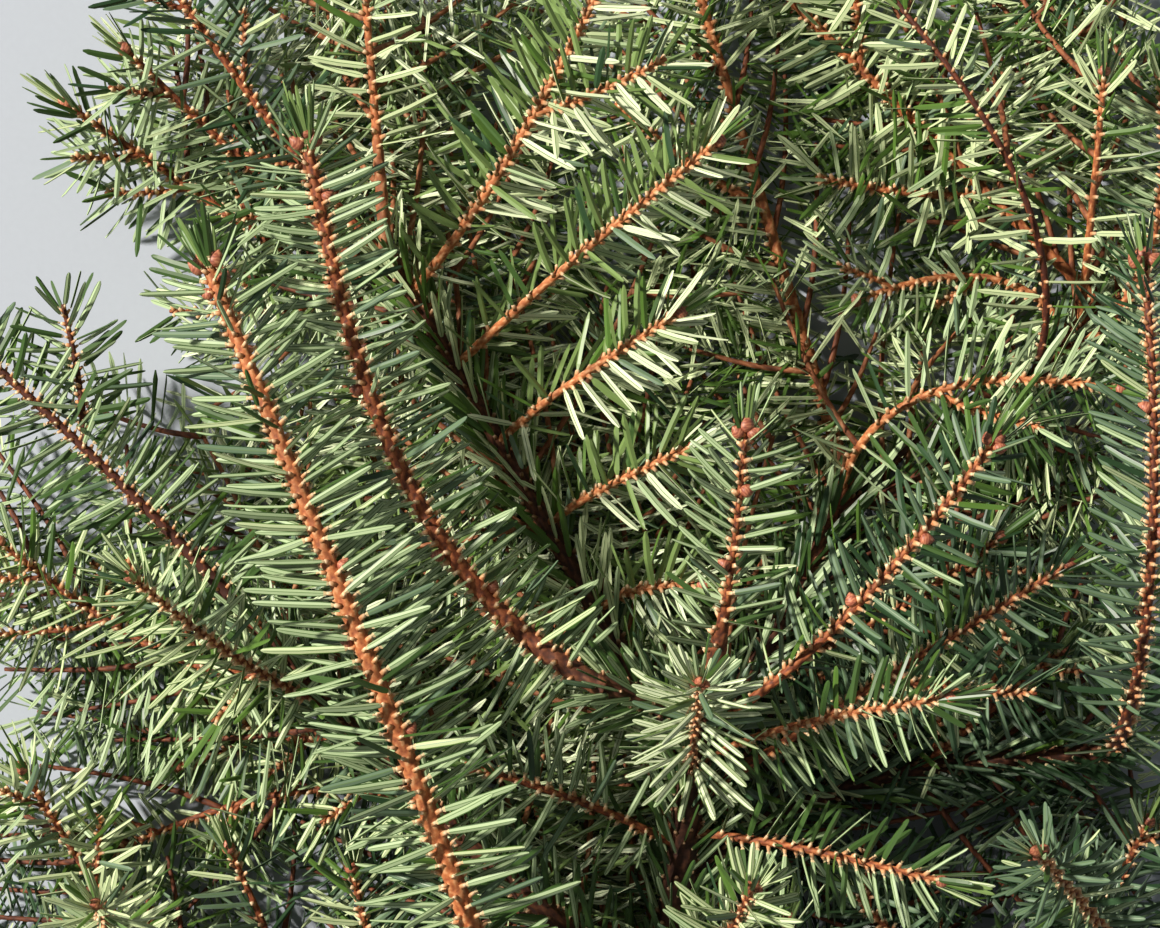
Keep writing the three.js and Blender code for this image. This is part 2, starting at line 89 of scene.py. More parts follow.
shootRows = [
    ("shoot_front_left", "bough_front_left", None, 108, 5, 22, -38, 157, 2.4, 0),
    ("shoot_front_middle", "bough_front_middle", None, 152, -51, -2, 5, 127, 2.3, 0),
    ("shoot_upright", "main_stem", None, 76, 9, 48, -45, 63, 1.6, 0),
    ("shoot_leaning", "main_stem", 123, 32, 20, 29, -29, 87, 1.7, 0),
    ("shoot_star_middle", "main_stem", 113, 92, -4, 62, 3, 49, 1.5, 0),
    ("shoot_level", "main_stem", 116, 36, -27, 47, -36, 60, 1.5, 0),
    ("shoot_right_inner", "main_stem", 107, 34, -2, 2, 5, 91, 1.5, 1),
    ("shoot_right_under", "bough_right", 24, 7, 30, -34, 53, 61, 1.4, 1),
    ("shoot_stem_right", "main_stem", 101, 358, -11, 24, -13, 54, 1.4, 0),
    ("shoot_star_foot", "main_stem", 61, 45, 22, 64, -16, 63, 1.6, 0),
    ("shoot_stem_left", "main_stem", 97, 147, 15, 23, -12, 48, 1.4, 0),
    ("shoot_stem_low", "main_stem", 78, 179, -14, -10, -2, 37, 1.4, 0),
    ("shoot_back_tip", "bough_back", None, 94, 1, 4, -4, 65, 1.6, 0),
    ("shoot_back_right_1", "bough_back", 117, 46, 18, 37, -52, 88, 1.6, 1),
    ("shoot_back_right_2", "bough_back", 99, 42, -3, 48, -55, 77, 1.5, 0),
    ("shoot_back_right_3", "bough_back", 81, 43, -11, 56, -54, 53, 1.4, 0),
    ("shoot_back_right_4", "bough_back", 61, 40, -16, 52, -49, 39, 1.4, 0),
    ("shoot_back_right_5", "bough_back", 40, 48, -47, 37, -20, 25, 1.3, 0),
    ("shoot_back_left_1", "bough_back", 95, 143, 3, -29, 53, 105, 1.5, 2),
    ("shoot_back_left_2", "bough_back", 112, 144, -8, -21, 46, 84, 1.5, 0),
    ("shoot_back_left_3", "bough_back", 121, 135, -10, -2, 13, 82, 1.6, 0),
    ("shoot_left_tip", "bough_left", None, 130, 8, 8, -10, 88, 1.5, 1),
    ("shoot_left_under", "bough_left", 106, 197, -56, -47, 63, 77, 1.4, 2),
    ("shoot_left_star", "bough_left", 96, 157, -20, 35, 4, 58, 1.4, 0),
    ("shoot_left_low_1", "bough_left", 79, 144, 53, -64, 53, 62, 1.4, 2),
    ("shoot_left_low_2", "bough_left", 62, 148, 56, -51, 54, 90, 1.4, 2),
    ("shoot_low_left_star", "bough_low_left", None, 113, -21, 60, 9, 40, 1.5, 0),
    ("shoot_low_left_1", "bough_low_left", 78, 111, 1, -6, 33, 45, 1.4, 1),
    ("shoot_low_left_2", "bough_low_left", 109, 134, -16, -3, 26, 56, 1.4, 0),
    ("shoot_low_left_3", "bough_low_left", 58, 100, 2, 11, 8, 47, 1.4, 0),
    ("shoot_low_left_4", "bough_low_left", 20, 136, -11, 15, 11, 50, 1.4, 0),
    ("shoot_low_left_5", "bough_low_left", 72, 215, -24, -9, 12, 41, 1.4, 0),
    ("shoot_right_edge", "bough_low_right", None, 82, 10, 73, -99, 124, 1.7, 0),
    ("shoot_low_right", "bough_low_right", 63, 47, -8, 43, -53, 41, 1.4, 1),
    ("shoot_corner_star", "bough_corner", None, 125, 9, 55, -2, 64, 1.5, 0),
    ("shoot_corner_1", "bough_corner", 73, 157, -23, -4, 23, 38, 1.4, 1),
    ("shoot_corner_2", "bough_corner", 96, 78, -11, -27, 64, 36, 1.4, 0),
    ("shoot_corner_3", "bough_corner", 23, 84, -7, 34, -28, 33, 1.4, 0),
    ("shoot_corner_4", "bough_corner", 62, 286, 58, -17, 27, 36, 1.4, 0),
    ("shoot_far_middle", "bough_right", None, 107, 0, -5, 15, 114, 1.7, 3),
    ("shoot_far_level", "bough_right", 69, 87, -95, 35, -38, 71, 1.5, 1),
    ("shoot_far_tip", "bough_far_right", None, 136, 0, 1, 5, 100, 1.5, 2),
    ("shoot_far_left", "bough_far_right", 63, 110, 89, 0, 11, 51, 1.4, 0),
    ("shoot_far_right_1", "bough_far_right", 67, 91, -5, 46, -43, 57, 1.4, 0),
    ("shoot_far_right_3", "bough_far_right", 51, 72, 57, 44, -55, 95, 1.5, 0),
    ("shoot_far_right_2", "bough_far_right", 57, 19, 75, 20, -16, 69, 1.4, 0),
]


def plansFrom(fields, rows):
    return [{field: value for field, value in zip(fields, row) if value is not None} for row in rows]


def unit(vectors):
    return vectors / np.linalg.norm(vectors, axis=-1, keepdims=True)


def headingAt(plan, t):
    return plan["heading"] + plan["turn"] * (2 * t - t * t)


def directionAt(plan, t):
    swing = np.radians(headingAt(plan, t))
    slope = np.radians(plan["climb"] + plan["lift"] * t)
    return unit(np.stack([np.cos(swing), np.sin(swing), np.tan(slope)], axis=-1))


def growLine(foot, plan, low=False):
    steps = growth["lineSteps"]
    moves = directionAt(plan, (np.arange(steps) + 0.5) / steps) * plan["length"] / steps
    knots = np.vstack([foot, np.asarray(foot) + np.cumsum(moves, axis=0)])
    return {"plan": plan, "knots": knots, "least": knots.min(0), "most": knots.max(0), "low": low}


def pointAt(line, t):
    steps = growth["lineSteps"]
    t = np.asarray(t, float)
    step = np.clip(np.floor(t * steps), 0, steps - 1).astype(int)
    share = (t * steps - step)[..., None]
    return line["knots"][step] * (1 - share) + line["knots"][step + 1] * share


def frameAt(line, t):
    along = directionAt(line["plan"], np.clip(t, 0, 1))
    side = unit(np.cross(along, (0, 0, 1)))
    return along, side, np.cross(side, along)  # the last is the underside, which faces up here


# the way out from a line at a turn round it, in radians from its underside
def outwardAt(side, under, turn):
    return under * np.cos(turn)[..., None] + side * np.sin(turn)[..., None]


measuring = {"none": 1e3, "chunk": 1500}  # mm where there is no line, and points at a time


def distanceTo(points, lines):
    if not lines:
        return np.full(len(points), measuring["none"])
    starts = np.vstack([line["knots"][:-1] for line in lines])
    spans = np.vstack([np.diff(line["knots"], axis=0) for line in lines])
    squares = (spans ** 2).sum(1)
    least = []
    for chunk in np.array_split(points, max(1, len(points) // measuring["chunk"])):
        away = chunk[:, None] - starts
        share = np.clip((away * spans).sum(2) / squares, 0, 1)[..., None]
        least.append(np.sqrt(((away - share * spans) ** 2).sum(2)).min(1))
    return np.concatenate(least)


# the lines that pass near a set of points, which spares most of the distances
def linesNear(points, lines, room):
    low, high = points.min(0) - room, points.max(0) + room
    lines = list(lines)
    if not lines:
        return lines
    near = (np.array([line["least"] for line in lines]) < high).all(1)
    near &= (np.array([line["most"] for line in lines]) > low).all(1)
    return [line for line, close in zip(lines, near) if close]


def footOn(parent, plan):
    return pointAt(parent, plan["at"] / parent["plan"]["length"] if "at" in plan else 1.0)


# a whole-number generator of the usual kind, which gives the solids' own side twigs again
class SeededDraw:
    def __init__(self, seed):
        self.state = seed
        self.draw()

    def draw(self):
        self.state += 0x6D2B79F5
        t = self.state & 0xFFFFFFFF
        t = ((t ^ (t >> 15)) * (t | 1)) & 0xFFFFFFFF
        t ^= (t + (((t ^ (t >> 7)) * (t | 61)) & 0xFFFFFFFF)) & 0xFFFFFFFF
        return (t ^ (t >> 14)) / 4294967296


def sideTwigPlans(plan, random):
    twigs = []
    count = plan["sideTwigs"]
    firstSide = -1 if random.draw() < 0.5 else 1
    for i in range(count):
        jitter = growth["twigPlaceJitter"] * (random.draw() - 0.5)
        share = (i + growth["firstTwigAt"] + jitter) / (count - 1 + 2 * growth["firstTwigAt"])
        hand = firstSide if i % 2 == 0 else -firstSide
        lengthShare = growth["sideTwigShare"] * (1 + growth["sideTwigTaper"] * (0.5 - share))
        twigs.append(dict(
            share=share,
            heading=headingAt(plan, share) + hand * growth["sideTwigAngle"],
            turn=-hand * growth["sideTwigBend"],
            climb=float(np.clip(plan["climb"] + plan["lift"] * share, *growth["sideTwigClimbs"])),
            lift=growth["sideTwigLift"],
            length=max(growth["leastTwigLength"], plan["length"] * lengthShare),
            radius=plan["radius"] * growth["sideTwigThickness"],
        ))
    return twigs


limbs = {}
for plan in plansFrom(limbFields, limbRows):
    foot = footOn(limbs[plan["on"]], plan) if "on" in plan else growth["stemFoot"]
    limbs[plan["name"]] = growLine(foot, plan)


def hiddenLength(parent, plan):
    if "at" not in plan:
        return 0
    share = plan["at"] / parent["length"]
    return parent["radius"] * (1 - share) + parent["tip"] * share


masses = []
for order, plan in enumerate(plansFrom(shootFields, shootRows)):
    parent = limbs[plan["on"]]
    main = growLine(footOn(parent, plan), plan)
    twigs = sideTwigPlans(plan, SeededDraw(growth["sideTwigSeed"] + order))
    lines = [main] + [growLine(pointAt(main, twig["share"]), twig) for twig in twigs]
    bare = hiddenLength(parent["plan"], plan) + growth["bareFoot"]
    masses.append({"name": plan["name"], "plan": plan, "lines": lines, "bare": bare})


def clearOfWood(points, room):
    clear = np.ones(len(points), bool)
    for limb in linesNear(points, limbs.values(), growth["woodSearched"]):
        clear &= distanceTo(points, [limb]) >= limb["plan"]["radius"] + room
    return clear


# every mass's lines, apart from those of the one named
def linesBeside(mass=None):
    return [line for owner in masses if owner is not mass for line in owner["lines"]]


def hasRoom(line, mass):
    knots = line["knots"][growth["twigFootSteps"]:]
    apart = distanceTo(knots, linesBeside(mass)) > growth["leastTwigRoom"]
    high = knots[:, 2] > growth["leastTwigHeight"]
    return bool((apart & high & clearOfWood(knots, growth["twigClearance"])).all())


for mass in masses:
    mass["lines"] = mass["lines"][:1] + [line for line in mass["lines"][1:] if hasRoom(line, mass)]
print("growth lines", len(limbs), "limbs,", sum(len(mass["lines"]) for mass in masses), "twigs")

# finer twigs than the solids have, in the low shoots, within the same reach
fineTwigs = {
    "seed": 23,
    "every": 17,                 # mm of shoot for each
    "lengths": (11, 19),
    "angle": 46,
    "bend": 12,
    "climbs": (-6, 22),
    "climbJitter": 8,
    "radius": 0.95,
    "shares": (0.12, 0.84),      # of the shoot, where they stand
    "shareJitter": 0.03,
    "footSteps": 8,              # of its line, where a twig may lie near others
    "highestFoot": 62,           # the nearest shoots have none
    "leastHeight": 4,
    "room": 5.5,                 # between their lines and those of another mass
    "woodRoom": 2.0,
    "on": ("shoot_back_left", "shoot_left_low", "shoot_left_under", "shoot_low_left_1", "shoot_low_left_2",
           "shoot_low_left_4", "shoot_low_left_5", "shoot_corner_1", "shoot_corner_2", "shoot_corner_4",
           "shoot_low_right", "shoot_stem_low", "shoot_right_under", "shoot_far_left"),
}


def fineTwigPlan(plan, share, random):
    hand = random.choice([-1, 1])
    length = random.uniform(*fineTwigs["lengths"])
    climb = float(np.clip(plan["climb"] + plan["lift"] * share, *fineTwigs["climbs"]))
    climb = climb + random.uniform(-fineTwigs["climbJitter"], fineTwigs["climbJitter"])
    return dict(heading=headingAt(plan, share) + hand * fineTwigs["angle"], turn=-hand * fineTwigs["bend"],
                climb=climb, lift=0, length=length, radius=fineTwigs["radius"])


def addFineTwigs(mass, random):
    main = mass["lines"][0]
    own = []
    count = int(main["plan"]["length"] / fineTwigs["every"])
    for share in np.linspace(*fineTwigs["shares"], count):
        share = share + random.uniform(-fineTwigs["shareJitter"], fineTwigs["shareJitter"])
        line = growLine(pointAt(main, share), fineTwigPlan(main["plan"], share, random))
        knots = line["knots"][fineTwigs["footSteps"]:]
        mates = mass["lines"][1:] + own
        free = line["knots"][0][2] < fineTwigs["highestFoot"] and knots[:, 2].min() > fineTwigs["leastHeight"]
        free = free and distanceTo(knots, linesBeside(mass)).min() > fineTwigs["room"]
        free = free and bool(clearOfWood(knots, fineTwigs["woodRoom"]).all())
        if free and (not mates or distanceTo(knots[-1:], mates).min() > fineTwigs["room"]):
            own.append(line)
    mass["lines"] = mass["lines"] + own


fineRandom = np.random.default_rng(fineTwigs["seed"])
for mass in masses:
    if mass["name"].startswith(fineTwigs["on"]):
        addFineTwigs(mass, fineRandom)

# low twigs on the boughs, near the floor, which close the view between the shoots
lowTwigs = {
    "seed": 31,
    "every": 5,                  # mm of bough
    "first": 12,
    "lengths": (62, 50, 38, 28, 20),
    "angles": (32, 80),
    "bend": 18,
    "endHeights": (5, 15),
    "leastHeight": 4.0,
    "mostRise": 0.7,             # of the twig's length
    "steepest": 50,
    "levelling": 0.9,
    "room": 4.8,
    "woodRoom": 1.6,
    "hiddenSteps": 7,
    "endSteps": 8,               # of its line, which settle the mass it belongs to
    "searched": (8, 40, 400),    # mm round it, one after the other, for that mass
    "radius": 0.85,
    "lowShoot": 34,              # mean height of the shoots that bear low twigs
    "shootLengths": (40, 30, 22, 16),
    "shootEvery": 7,
    "farthest": (124, 132),      # in X and Y, from the middle
    "openCorner": (-84, 46),     # the sky shows there: less X and more Y than this
    "tries": 8,
    # the masses whose low twigs fork
    "forked": ("shoot_back", "shoot_far", "shoot_corner", "shoot_low_right", "shoot_right"),
    "forkLengths": (26, 20, 14),
    "forkEvery": 7,
    "forkCorner": (-56, 34),     # as "openCorner", for the forks
    "on": ("bough_back", "bough_left", "bough_low_left", "bough_low_right", "bough_corner", "bough_right",
           "bough_far_right", "main_stem"),
}


def lowTwig(parent, share, hand, length, random):
    foot = pointAt(parent, share)
    rise = (random.uniform(*lowTwigs["endHeights"]) - foot[2]) / length
    average = math.degrees(math.asin(max(-lowTwigs["mostRise"], min(lowTwigs["mostRise"], rise))))
    lift = -lowTwigs["levelling"] * average
    swing = headingAt(parent["plan"], share) + hand * random.uniform(*lowTwigs["angles"])
    plan = dict(heading=swing, turn=-hand * lowTwigs["bend"], climb=average - lift / 2, lift=lift,
                length=length, radius=lowTwigs["radius"])
    return growLine(foot, plan, low=True)


def lowTwigFits(line, openCorner):
    knots = line["knots"][lowTwigs["hiddenSteps"]:]
    end = line["knots"][-1]
    inside = abs(end[0]) < lowTwigs["farthest"][0] and abs(end[1]) < lowTwigs["farthest"][1]
    inside = inside and not (end[0] < openCorner[0] and end[1] > openCorner[1])
    inside = inside and knots[:, 2].min() > lowTwigs["leastHeight"]
    if not inside or abs(line["plan"]["climb"]) > lowTwigs["steepest"]:
        return False
    others = linesNear(knots, linesBeside(), lowTwigs["room"])
    if distanceTo(knots, others).min() < lowTwigs["room"]:
        return False
    return bool(clearOfWood(knots, lowTwigs["woodRoom"]).all())


def nearestMass(points):
    for room in lowTwigs["searched"]:
        away = [distanceTo(points, linesNear(points, mass["lines"], room)).min() for mass in masses]
        if min(away) < room:
            return masses[int(np.argmin(away))]


def addLowTwigs(parent, lengths, every, random, openCorner=lowTwigs["openCorner"]):
    for s in np.arange(lowTwigs["first"], parent["plan"]["length"], every):
        for hand in (-1, 1):
            for length in np.repeat(lengths, lowTwigs["tries"]):
                line = lowTwig(parent, s / parent["plan"]["length"], hand, length, random)
                if lowTwigFits(line, openCorner):
                    nearestMass(line["knots"][-lowTwigs["endSteps"]:])["lines"].append(line)
                    break


lowRandom = np.random.default_rng(lowTwigs["seed"])
for name in lowTwigs["on"]:
    addLowTwigs(limbs[name], lowTwigs["lengths"], lowTwigs["every"], lowRandom)
for mass in masses:
    if mass["lines"][0]["knots"][:, 2].mean() < lowTwigs["lowShoot"]:
        addLowTwigs(mass["lines"][0], lowTwigs["shootLengths"], lowTwigs["shootEvery"], lowRandom)
forkSettings = (lowTwigs["forkLengths"], lowTwigs["forkEvery"], lowRandom, lowTwigs["forkCorner"])
for mass in masses:
    if mass["name"].startswith(lowTwigs["forked"]):
        for line in [line for line in mass["lines"] if line["low"]]:
            addLowTwigs(line, *forkSettings)
print("finer twigs added,", sum(len(mass["lines"]) for mass in masses), "twigs in all")

# needles stand on pegs in a spiral, and part to the left and right of the underside
needles = {
    "lowPerMm": 1.5,             # of shoot
    "twigBare": 0.6,             # of "bareFoot", on a side twig
    "spiral": 137.508,           # from each needle to the next, round the shoot
    "parting": 62,               # least angle from the underside to a combed needle
    "farthest": 152,
    "aroundJitter": 11,
    "spreadJitter": 8,
    "tuftRound": 0.75,           # how far those of the tip stand all round it
    "footShare": 0.45,           # of the shoot, for a look's "footRound"
    "rightSpread": 4,            # more on the right, less on the left, as in the photo
    "farLean": 12,               # the far ones lie this much closer along the shoot
    "farShortening": 0.15,
    "tipShortening": 0.2,
    "tipNarrowing": 0.1,
    "footReach": (0.72, 0.28, 9),  # share of the length at the foot, and what it gains over so many mm
    "lengthJitter": 0.09,
    "crossing": 0.014,           # share of the needles that lie across the parting
    "crossingPegs": 70,          # they stand within this turn of the underside
    "crossingTurns": (-40, 45),
    "crossingSpread": (40, 85),
    "crossingLength": 0.7,
    "crossingWidth": 0.75,
    "crossingLimits": (0.3, 0.5),  # none past this much tuft, or this much of a look's "radial"
    "facingIn": 1.6,             # how soon those of the tip turn their bands inwards
    "greenFrom": 0.3,            # how far up or down the picture a needle points for "greenSide"
    "rollJitter": 34,
    "edgeOn": 0.2,               # share that show their edge
    "edgeRolls": (55, 110),
    "otherTint": 0.22,           # share with a tint of their own, one of the first three
    "pegLength": 1.0,
    "pegLean": (0.5, 0.65, 0.3),  # towards its needle, outwards and along
    "pegSunk": 0.05,
    "curlWay": (1, 1, 0.3),
    "least": 1.3,                # height of the lowest tips over the floor
    "leastRoot": 0.9,
    "searched": 20,              # mm round the needles, for lines beside them
    "checkedAt": (0.4, 0.7, 1.0),
    "overlap": 3.5,              # how far a needle may reach in among those of a neighbour
    "twigClearance": 2.0,
    "woodClearance": 0.5,
    "seed": 40,
}

# what differs from shoot to shoot: length, width and number of the needles, their angle, how slim the stem
# is, how far they stand all round it and round its foot, how far they face its tip, the share that shows its
# green upper side, the side where all do (1 above the stem in the picture, -1 below), the needles round the
# end bud, the bare foot in mm, the sizes of the pegs and of that bud, how pale the bark is, which is partly
# its own colour and partly painted sunlight and shade, and the tint, whose darkest step is painted shade and
# whose palest is painted light
usualLook = dict(length=13.6, width=0.95, perMm=1.6, spread=10, slim=0.74, radial=0.1, footRound=0, tipward=0,
                 flipped=0.15, greenSide=0, crown=9, bare=None, peg=1.0, bud=3.3, toneAndLight=0, tint=None)
lowLook = dict(usualLook, width=0.8, flipped=0.45)
boughLook = dict(usualLook, width=0.92, spread=-27, radial=0.75, flipped=0.4)
starLook = dict(usualLook, slim=0.68, radial=0.5, footRound=1, tipward=0.7, flipped=0.1, crown=5)
# tint 0 is painted shade, for the shoots that lie in shade; tint 3 is painted light, for the back shoots in
# the shadow of the nearer ones and for the bright star, and the back shoots' paler bark is painted light too
backRightLook = dict(usualLook, perMm=1.85, width=1.04, greenSide=1, toneAndLight=0.34, tint=3)
rightLook = dict(usualLook, length=12.6, flipped=0.5, tint=0)
cornerLook = dict(usualLook, flipped=0.4, tint=0)
shootLooks = {
    "shoot_front_left": dict(usualLook, length=16.2, width=1.12, perMm=1.85, spread=12, slim=0.96, radial=0,
                             flipped=0.05, crown=38, peg=1.05, bud=4.4, toneAndLight=0.24, tint=1),
    "shoot_front_middle": dict(usualLook, length=14.6, width=1.02, perMm=1.8, spread=19, slim=0.86, radial=0,
                               flipped=0.08, crown=38, peg=1.05, bud=4.2, tint=1),
    "shoot_upright": dict(usualLook, length=12.2, perMm=1.35, spread=6, slim=0.6, flipped=0.1, crown=7,
                          peg=1.1, bud=3.6, toneAndLight=-0.03, tint=1),
    "shoot_leaning": dict(usualLook, length=12.8, perMm=1.5, slim=0.66, flipped=0.4, crown=13, peg=1.12,
                          bud=3.5, toneAndLight=0.04, tint=0),
    "shoot_level": dict(usualLook, length=12.4, spread=14, slim=0.6, radial=0.2, greenSide=1, peg=1.1,
                        toneAndLight=0.2, tint=1),
    "shoot_star_middle": dict(starLook, length=13.8, width=1.05, perMm=2.4, spread=16, slim=0.66, radial=0.25,
                              tipward=0.8, flipped=0.04, crown=6, bare=1.5, peg=0.72, bud=2.6, toneAndLight=0.02,
                              tint=3),
    "shoot_star_foot": dict(starLook, perMm=2.0, spread=14, slim=0.66, radial=0.3, bare=2, peg=0.8, bud=2.4,
                            tint=2),
    "shoot_corner_star": dict(starLook, perMm=2.1, bud=3.2, tint=0),
    "shoot_low_left_star": dict(starLook, perMm=2.3, bud=2.8, toneAndLight=0.1, tint=2),
    "shoot_left_star": dict(starLook, length=13.2, perMm=1.9, slim=0.66, footRound=0.6, tipward=0.5, crown=6,
                            bud=2.8, tint=2),
    "shoot_right_edge": dict(usualLook, length=13.0, perMm=1.8, slim=0.78, radial=0.05, flipped=0.04,
                             crown=18, peg=0.95, bud=4.0, toneAndLight=-0.15, tint=0),
    "shoot_right_inner": rightLook,
    "shoot_right_under": rightLook,
    "shoot_low_right": rightLook,
    "shoot_corner_1": cornerLook,
    "shoot_corner_2": cornerLook,
    "shoot_corner_3": cornerLook,
    "shoot_stem_right": dict(usualLook, length=12.6, perMm=1.4, greenSide=1, toneAndLight=0.1, tint=1),
    "shoot_left_tip": dict(usualLook, perMm=1.8, slim=0.85, flipped=0.5, peg=0.8, toneAndLight=-0.32, tint=1),
    "shoot_back_tip": dict(usualLook, toneAndLight=0.24),
    "shoot_back_right_1": backRightLook,
    "shoot_back_right_2": backRightLook,
    "shoot_back_right_3": backRightLook,
    "shoot_back_right_4": backRightLook,
    "shoot_back_right_5": backRightLook,
    "shoot_far_level": dict(usualLook, greenSide=-1, toneAndLight=0.3, tint=1),
    "shoot_far_left": dict(usualLook, toneAndLight=0.3, tint=1),
    "shoot_far_middle": dict(usualLook, slim=0.95, toneAndLight=0.25, tint=2),
    "shoot_far_tip": dict(usualLook, length=15.6, width=1.1, perMm=1.9, spread=16, slim=0.95, toneAndLight=0.15,
                          tint=2),
    "shoot_far_right_1": dict(usualLook, toneAndLight=0.2, tint=2),
    "shoot_far_right_2": dict(usualLook, toneAndLight=0.2, tint=1),
    "shoot_far_right_3": dict(usualLook, length=12.4, width=0.9, perMm=0.85, slim=0.64, peg=0.75, toneAndLight=-0.26,
                              tint=2),
}


def lookOf(name):
    return shootLooks.get(name, usualLook)


def smooth(x):
    x = np.clip(x, 0, 1)
    return x * x * (3 - 2 * x)


# a shoot that goes on from the tip of its bough starts as thick and as old as that tip
leaderFoot = {"length": 34, "inside": 2.5}


def twigRadius(line, t):
    t = np.clip(t, 0, 1)
    own = line["plan"]["radius"] * line["slim"] * (1 - (1 - growth["twigTaper"]) * t)
    if line["from"] is None:
        return own
    foot = smooth(1 - t * line["plan"]["length"] / leaderFoot["length"])
    return own * (1 - foot) + line["from"] * foot


def twigAge(line, t):
    if line["from"] is None:
        return np.full(np.shape(t), line["age"])
    return line["age"] * smooth(1 - t * line["plan"]["length"] / leaderFoot["length"])


# the pegs of a twig, as places along and round it
def pegsOf(line, bare, perMm, random):
    count = int((line["plan"]["length"] - bare) * perMm)
    return {"bare": bare, "perMm": perMm, "start": random.uniform(0, 360), "count": count,
            "s": bare + (np.arange(count) + 0.5) / perMm}


def pegTurn(pegs, index):
    return (pegs["start"] + index * needles["spiral"] + 180) % 360 - 180


# where needles end, if none goes below the lowest height
def overFloor(root, heading, reach):
    tip = root + heading * reach[:, None]
    tip[:, 2] = np.maximum(tip[:, 2], needles["least"])
    span = tip - root
    return {"root": root, "tip": tip, "reach": np.linalg.norm(span, axis=1), "heading": unit(span)}


# roots, directions and sides of the needles on one twig
def needlesOn(line, pegs, random, look, tint):
    length, count, s = line["plan"]["length"], pegs["count"], pegs["s"]
    t = s / length
    peg = pegTurn(pegs, np.arange(count))
    tuft = smooth((s - length + growth["tuftLength"]) / growth["tuftLength"])
    hand = np.where(peg < 0, -1, 1)
    combed = needles["parting"] + (needles["farthest"] - needles["parting"]) * (abs(peg) / 180)
    combed = combed + random.normal(0, needles["aroundJitter"], count)
    footRound = look["footRound"] * (1 - smooth(t / needles["footShare"]))
    allRound = np.clip(needles["tuftRound"] * tuft + look["radial"] + footRound, 0, 1)
    around = combed * (1 - allRound) + abs(peg) * allRound
    mostTuft, mostRadial = needles["crossingLimits"]
    crosses = random.uniform(size=count) < needles["crossing"] * 180 / needles["crossingPegs"]
    crosses &= (abs(peg) < needles["crossingPegs"]) & (tuft < mostTuft) & (look["radial"] < mostRadial)
    around = np.where(crosses, random.uniform(*needles["crossingTurns"], count), around)
    far = np.clip((around - 90) / 90, 0, 1)
    spread = growth["spreadAtFoot"] * (1 - t) + growth["spreadAtTip"] * t
    spread = spread + look["spread"] + needles["rightSpread"] * hand - needles["farLean"] * far
    spread = spread * (1 - tuft) + growth["spreadOfTuft"] * tuft
    spread = np.where(crosses, random.uniform(*needles["crossingSpread"], count), spread)
    spread = np.radians(spread + random.normal(0, needles["spreadJitter"], count))
    along, side, under = frameAt(line, t)
    outward = outwardAt(side, under, np.radians(hand * around))
    pegOut = outwardAt(side, under, np.radians(peg))
    heading = along * np.cos(spread)[:, None] + outward * np.sin(spread)[:, None]
    leans = needles["pegLean"]
    pegHeading = unit(leans[0] * heading + leans[1] * pegOut + leans[2] * along)
    base = pointAt(line, t) + pegOut * (twigRadius(line, t) - needles["pegSunk"])[:, None]
    reach = look["length"] * (1 - growth["tuftShortening"] * tuft) * (1 - needles["tipShortening"] * t)
    reach = reach * (1 - needles["farShortening"] * far)
    reach = reach * (1 + random.normal(0, needles["lengthJitter"], count))
    least, gained, over = needles["footReach"]
    reach = reach * np.clip(least + gained * (s - pegs["bare"]) / over, least, 1)
    reach = np.where(crosses, reach * needles["crossingLength"], reach)
    ends = overFloor(base + pegHeading * needles["pegLength"], heading, reach)
    inward = np.where(crosses, 1.0, np.clip(needles["facingIn"] * tuft, 0, 1))[:, None]
    facing = under * (1 - inward) - outward * inward
    facing = unit(facing * (1 - look["tipward"]) + along * look["tipward"])
    green = random.uniform(size=count) < look["flipped"]
    green |= ends["heading"][:, 1] * look["greenSide"] > needles["greenFrom"]
    facing = np.where(green[:, None], -facing, facing)
    edge = random.uniform(size=count) < needles["edgeOn"]
    roll = np.where(edge, random.uniform(*needles["edgeRolls"], count),
                    random.normal(0, needles["rollJitter"], count))
    tints = np.where(random.uniform(size=count) < needles["otherTint"], random.integers(0, 3, count), tint)
    width = look["width"] * (1 - needles["tipNarrowing"] * t) * np.where(crosses, needles["crossingWidth"], 1)
    return {**ends, "base": base, "pegHeading": pegHeading, "facing": facing, "roll": roll, "tint": tints,
            "forward": along * needles["curlWay"], "width": width, "peg": np.full(count, look["peg"])}


# the upright needles that close round the end bud, their green sides outwards
crown = {
    "back": (0.2, 3.2),          # mm from the tip
    "turnJitter": 0.4,           # radians
    "spread": (2, 20),
    "spreadGain": (0.6, 0.25),   # at the tip, and more for each mm back
    "sunk": 0.9,                 # where they stand, as a share of the stem's radius
    "foot": 0.5,
    "lengths": (8, 12),
    "width": 0.62,
    "peg": 0.6,
    "curl": 0.2,
    "rollJitter": 15,
    "tints": (1, 4),
}


def crownOn(line, look, random):
    count = look["crown"]
    back = random.uniform(*crown["back"], count)
    t = 1 - back / line["plan"]["length"]
    along, side, under = frameAt(line, t)
    jitter = random.uniform(-crown["turnJitter"], crown["turnJitter"], count)
    out = outwardAt(side, under, np.arange(count) * 2 * math.pi / count + jitter)
    atTip, more = crown["spreadGain"]
    spread = np.radians(random.uniform(*crown["spread"], count) * (atTip + more * back))
    heading = along * np.cos(spread)[:, None] + out * np.sin(spread)[:, None]
    base = pointAt(line, t) + out * (twigRadius(line, t) * crown["sunk"])[:, None]
    ends = overFloor(base + heading * crown["foot"], heading, random.uniform(*crown["lengths"], count))
    return {**ends, "base": base, "pegHeading": unit(out + along), "facing": -out,
            "forward": along * crown["curl"], "roll": random.normal(0, crown["rollJitter"], count),
            "tint": random.integers(*crown["tints"], count), "width": np.full(count, crown["width"]),
            "peg": np.full(count, crown["peg"])}


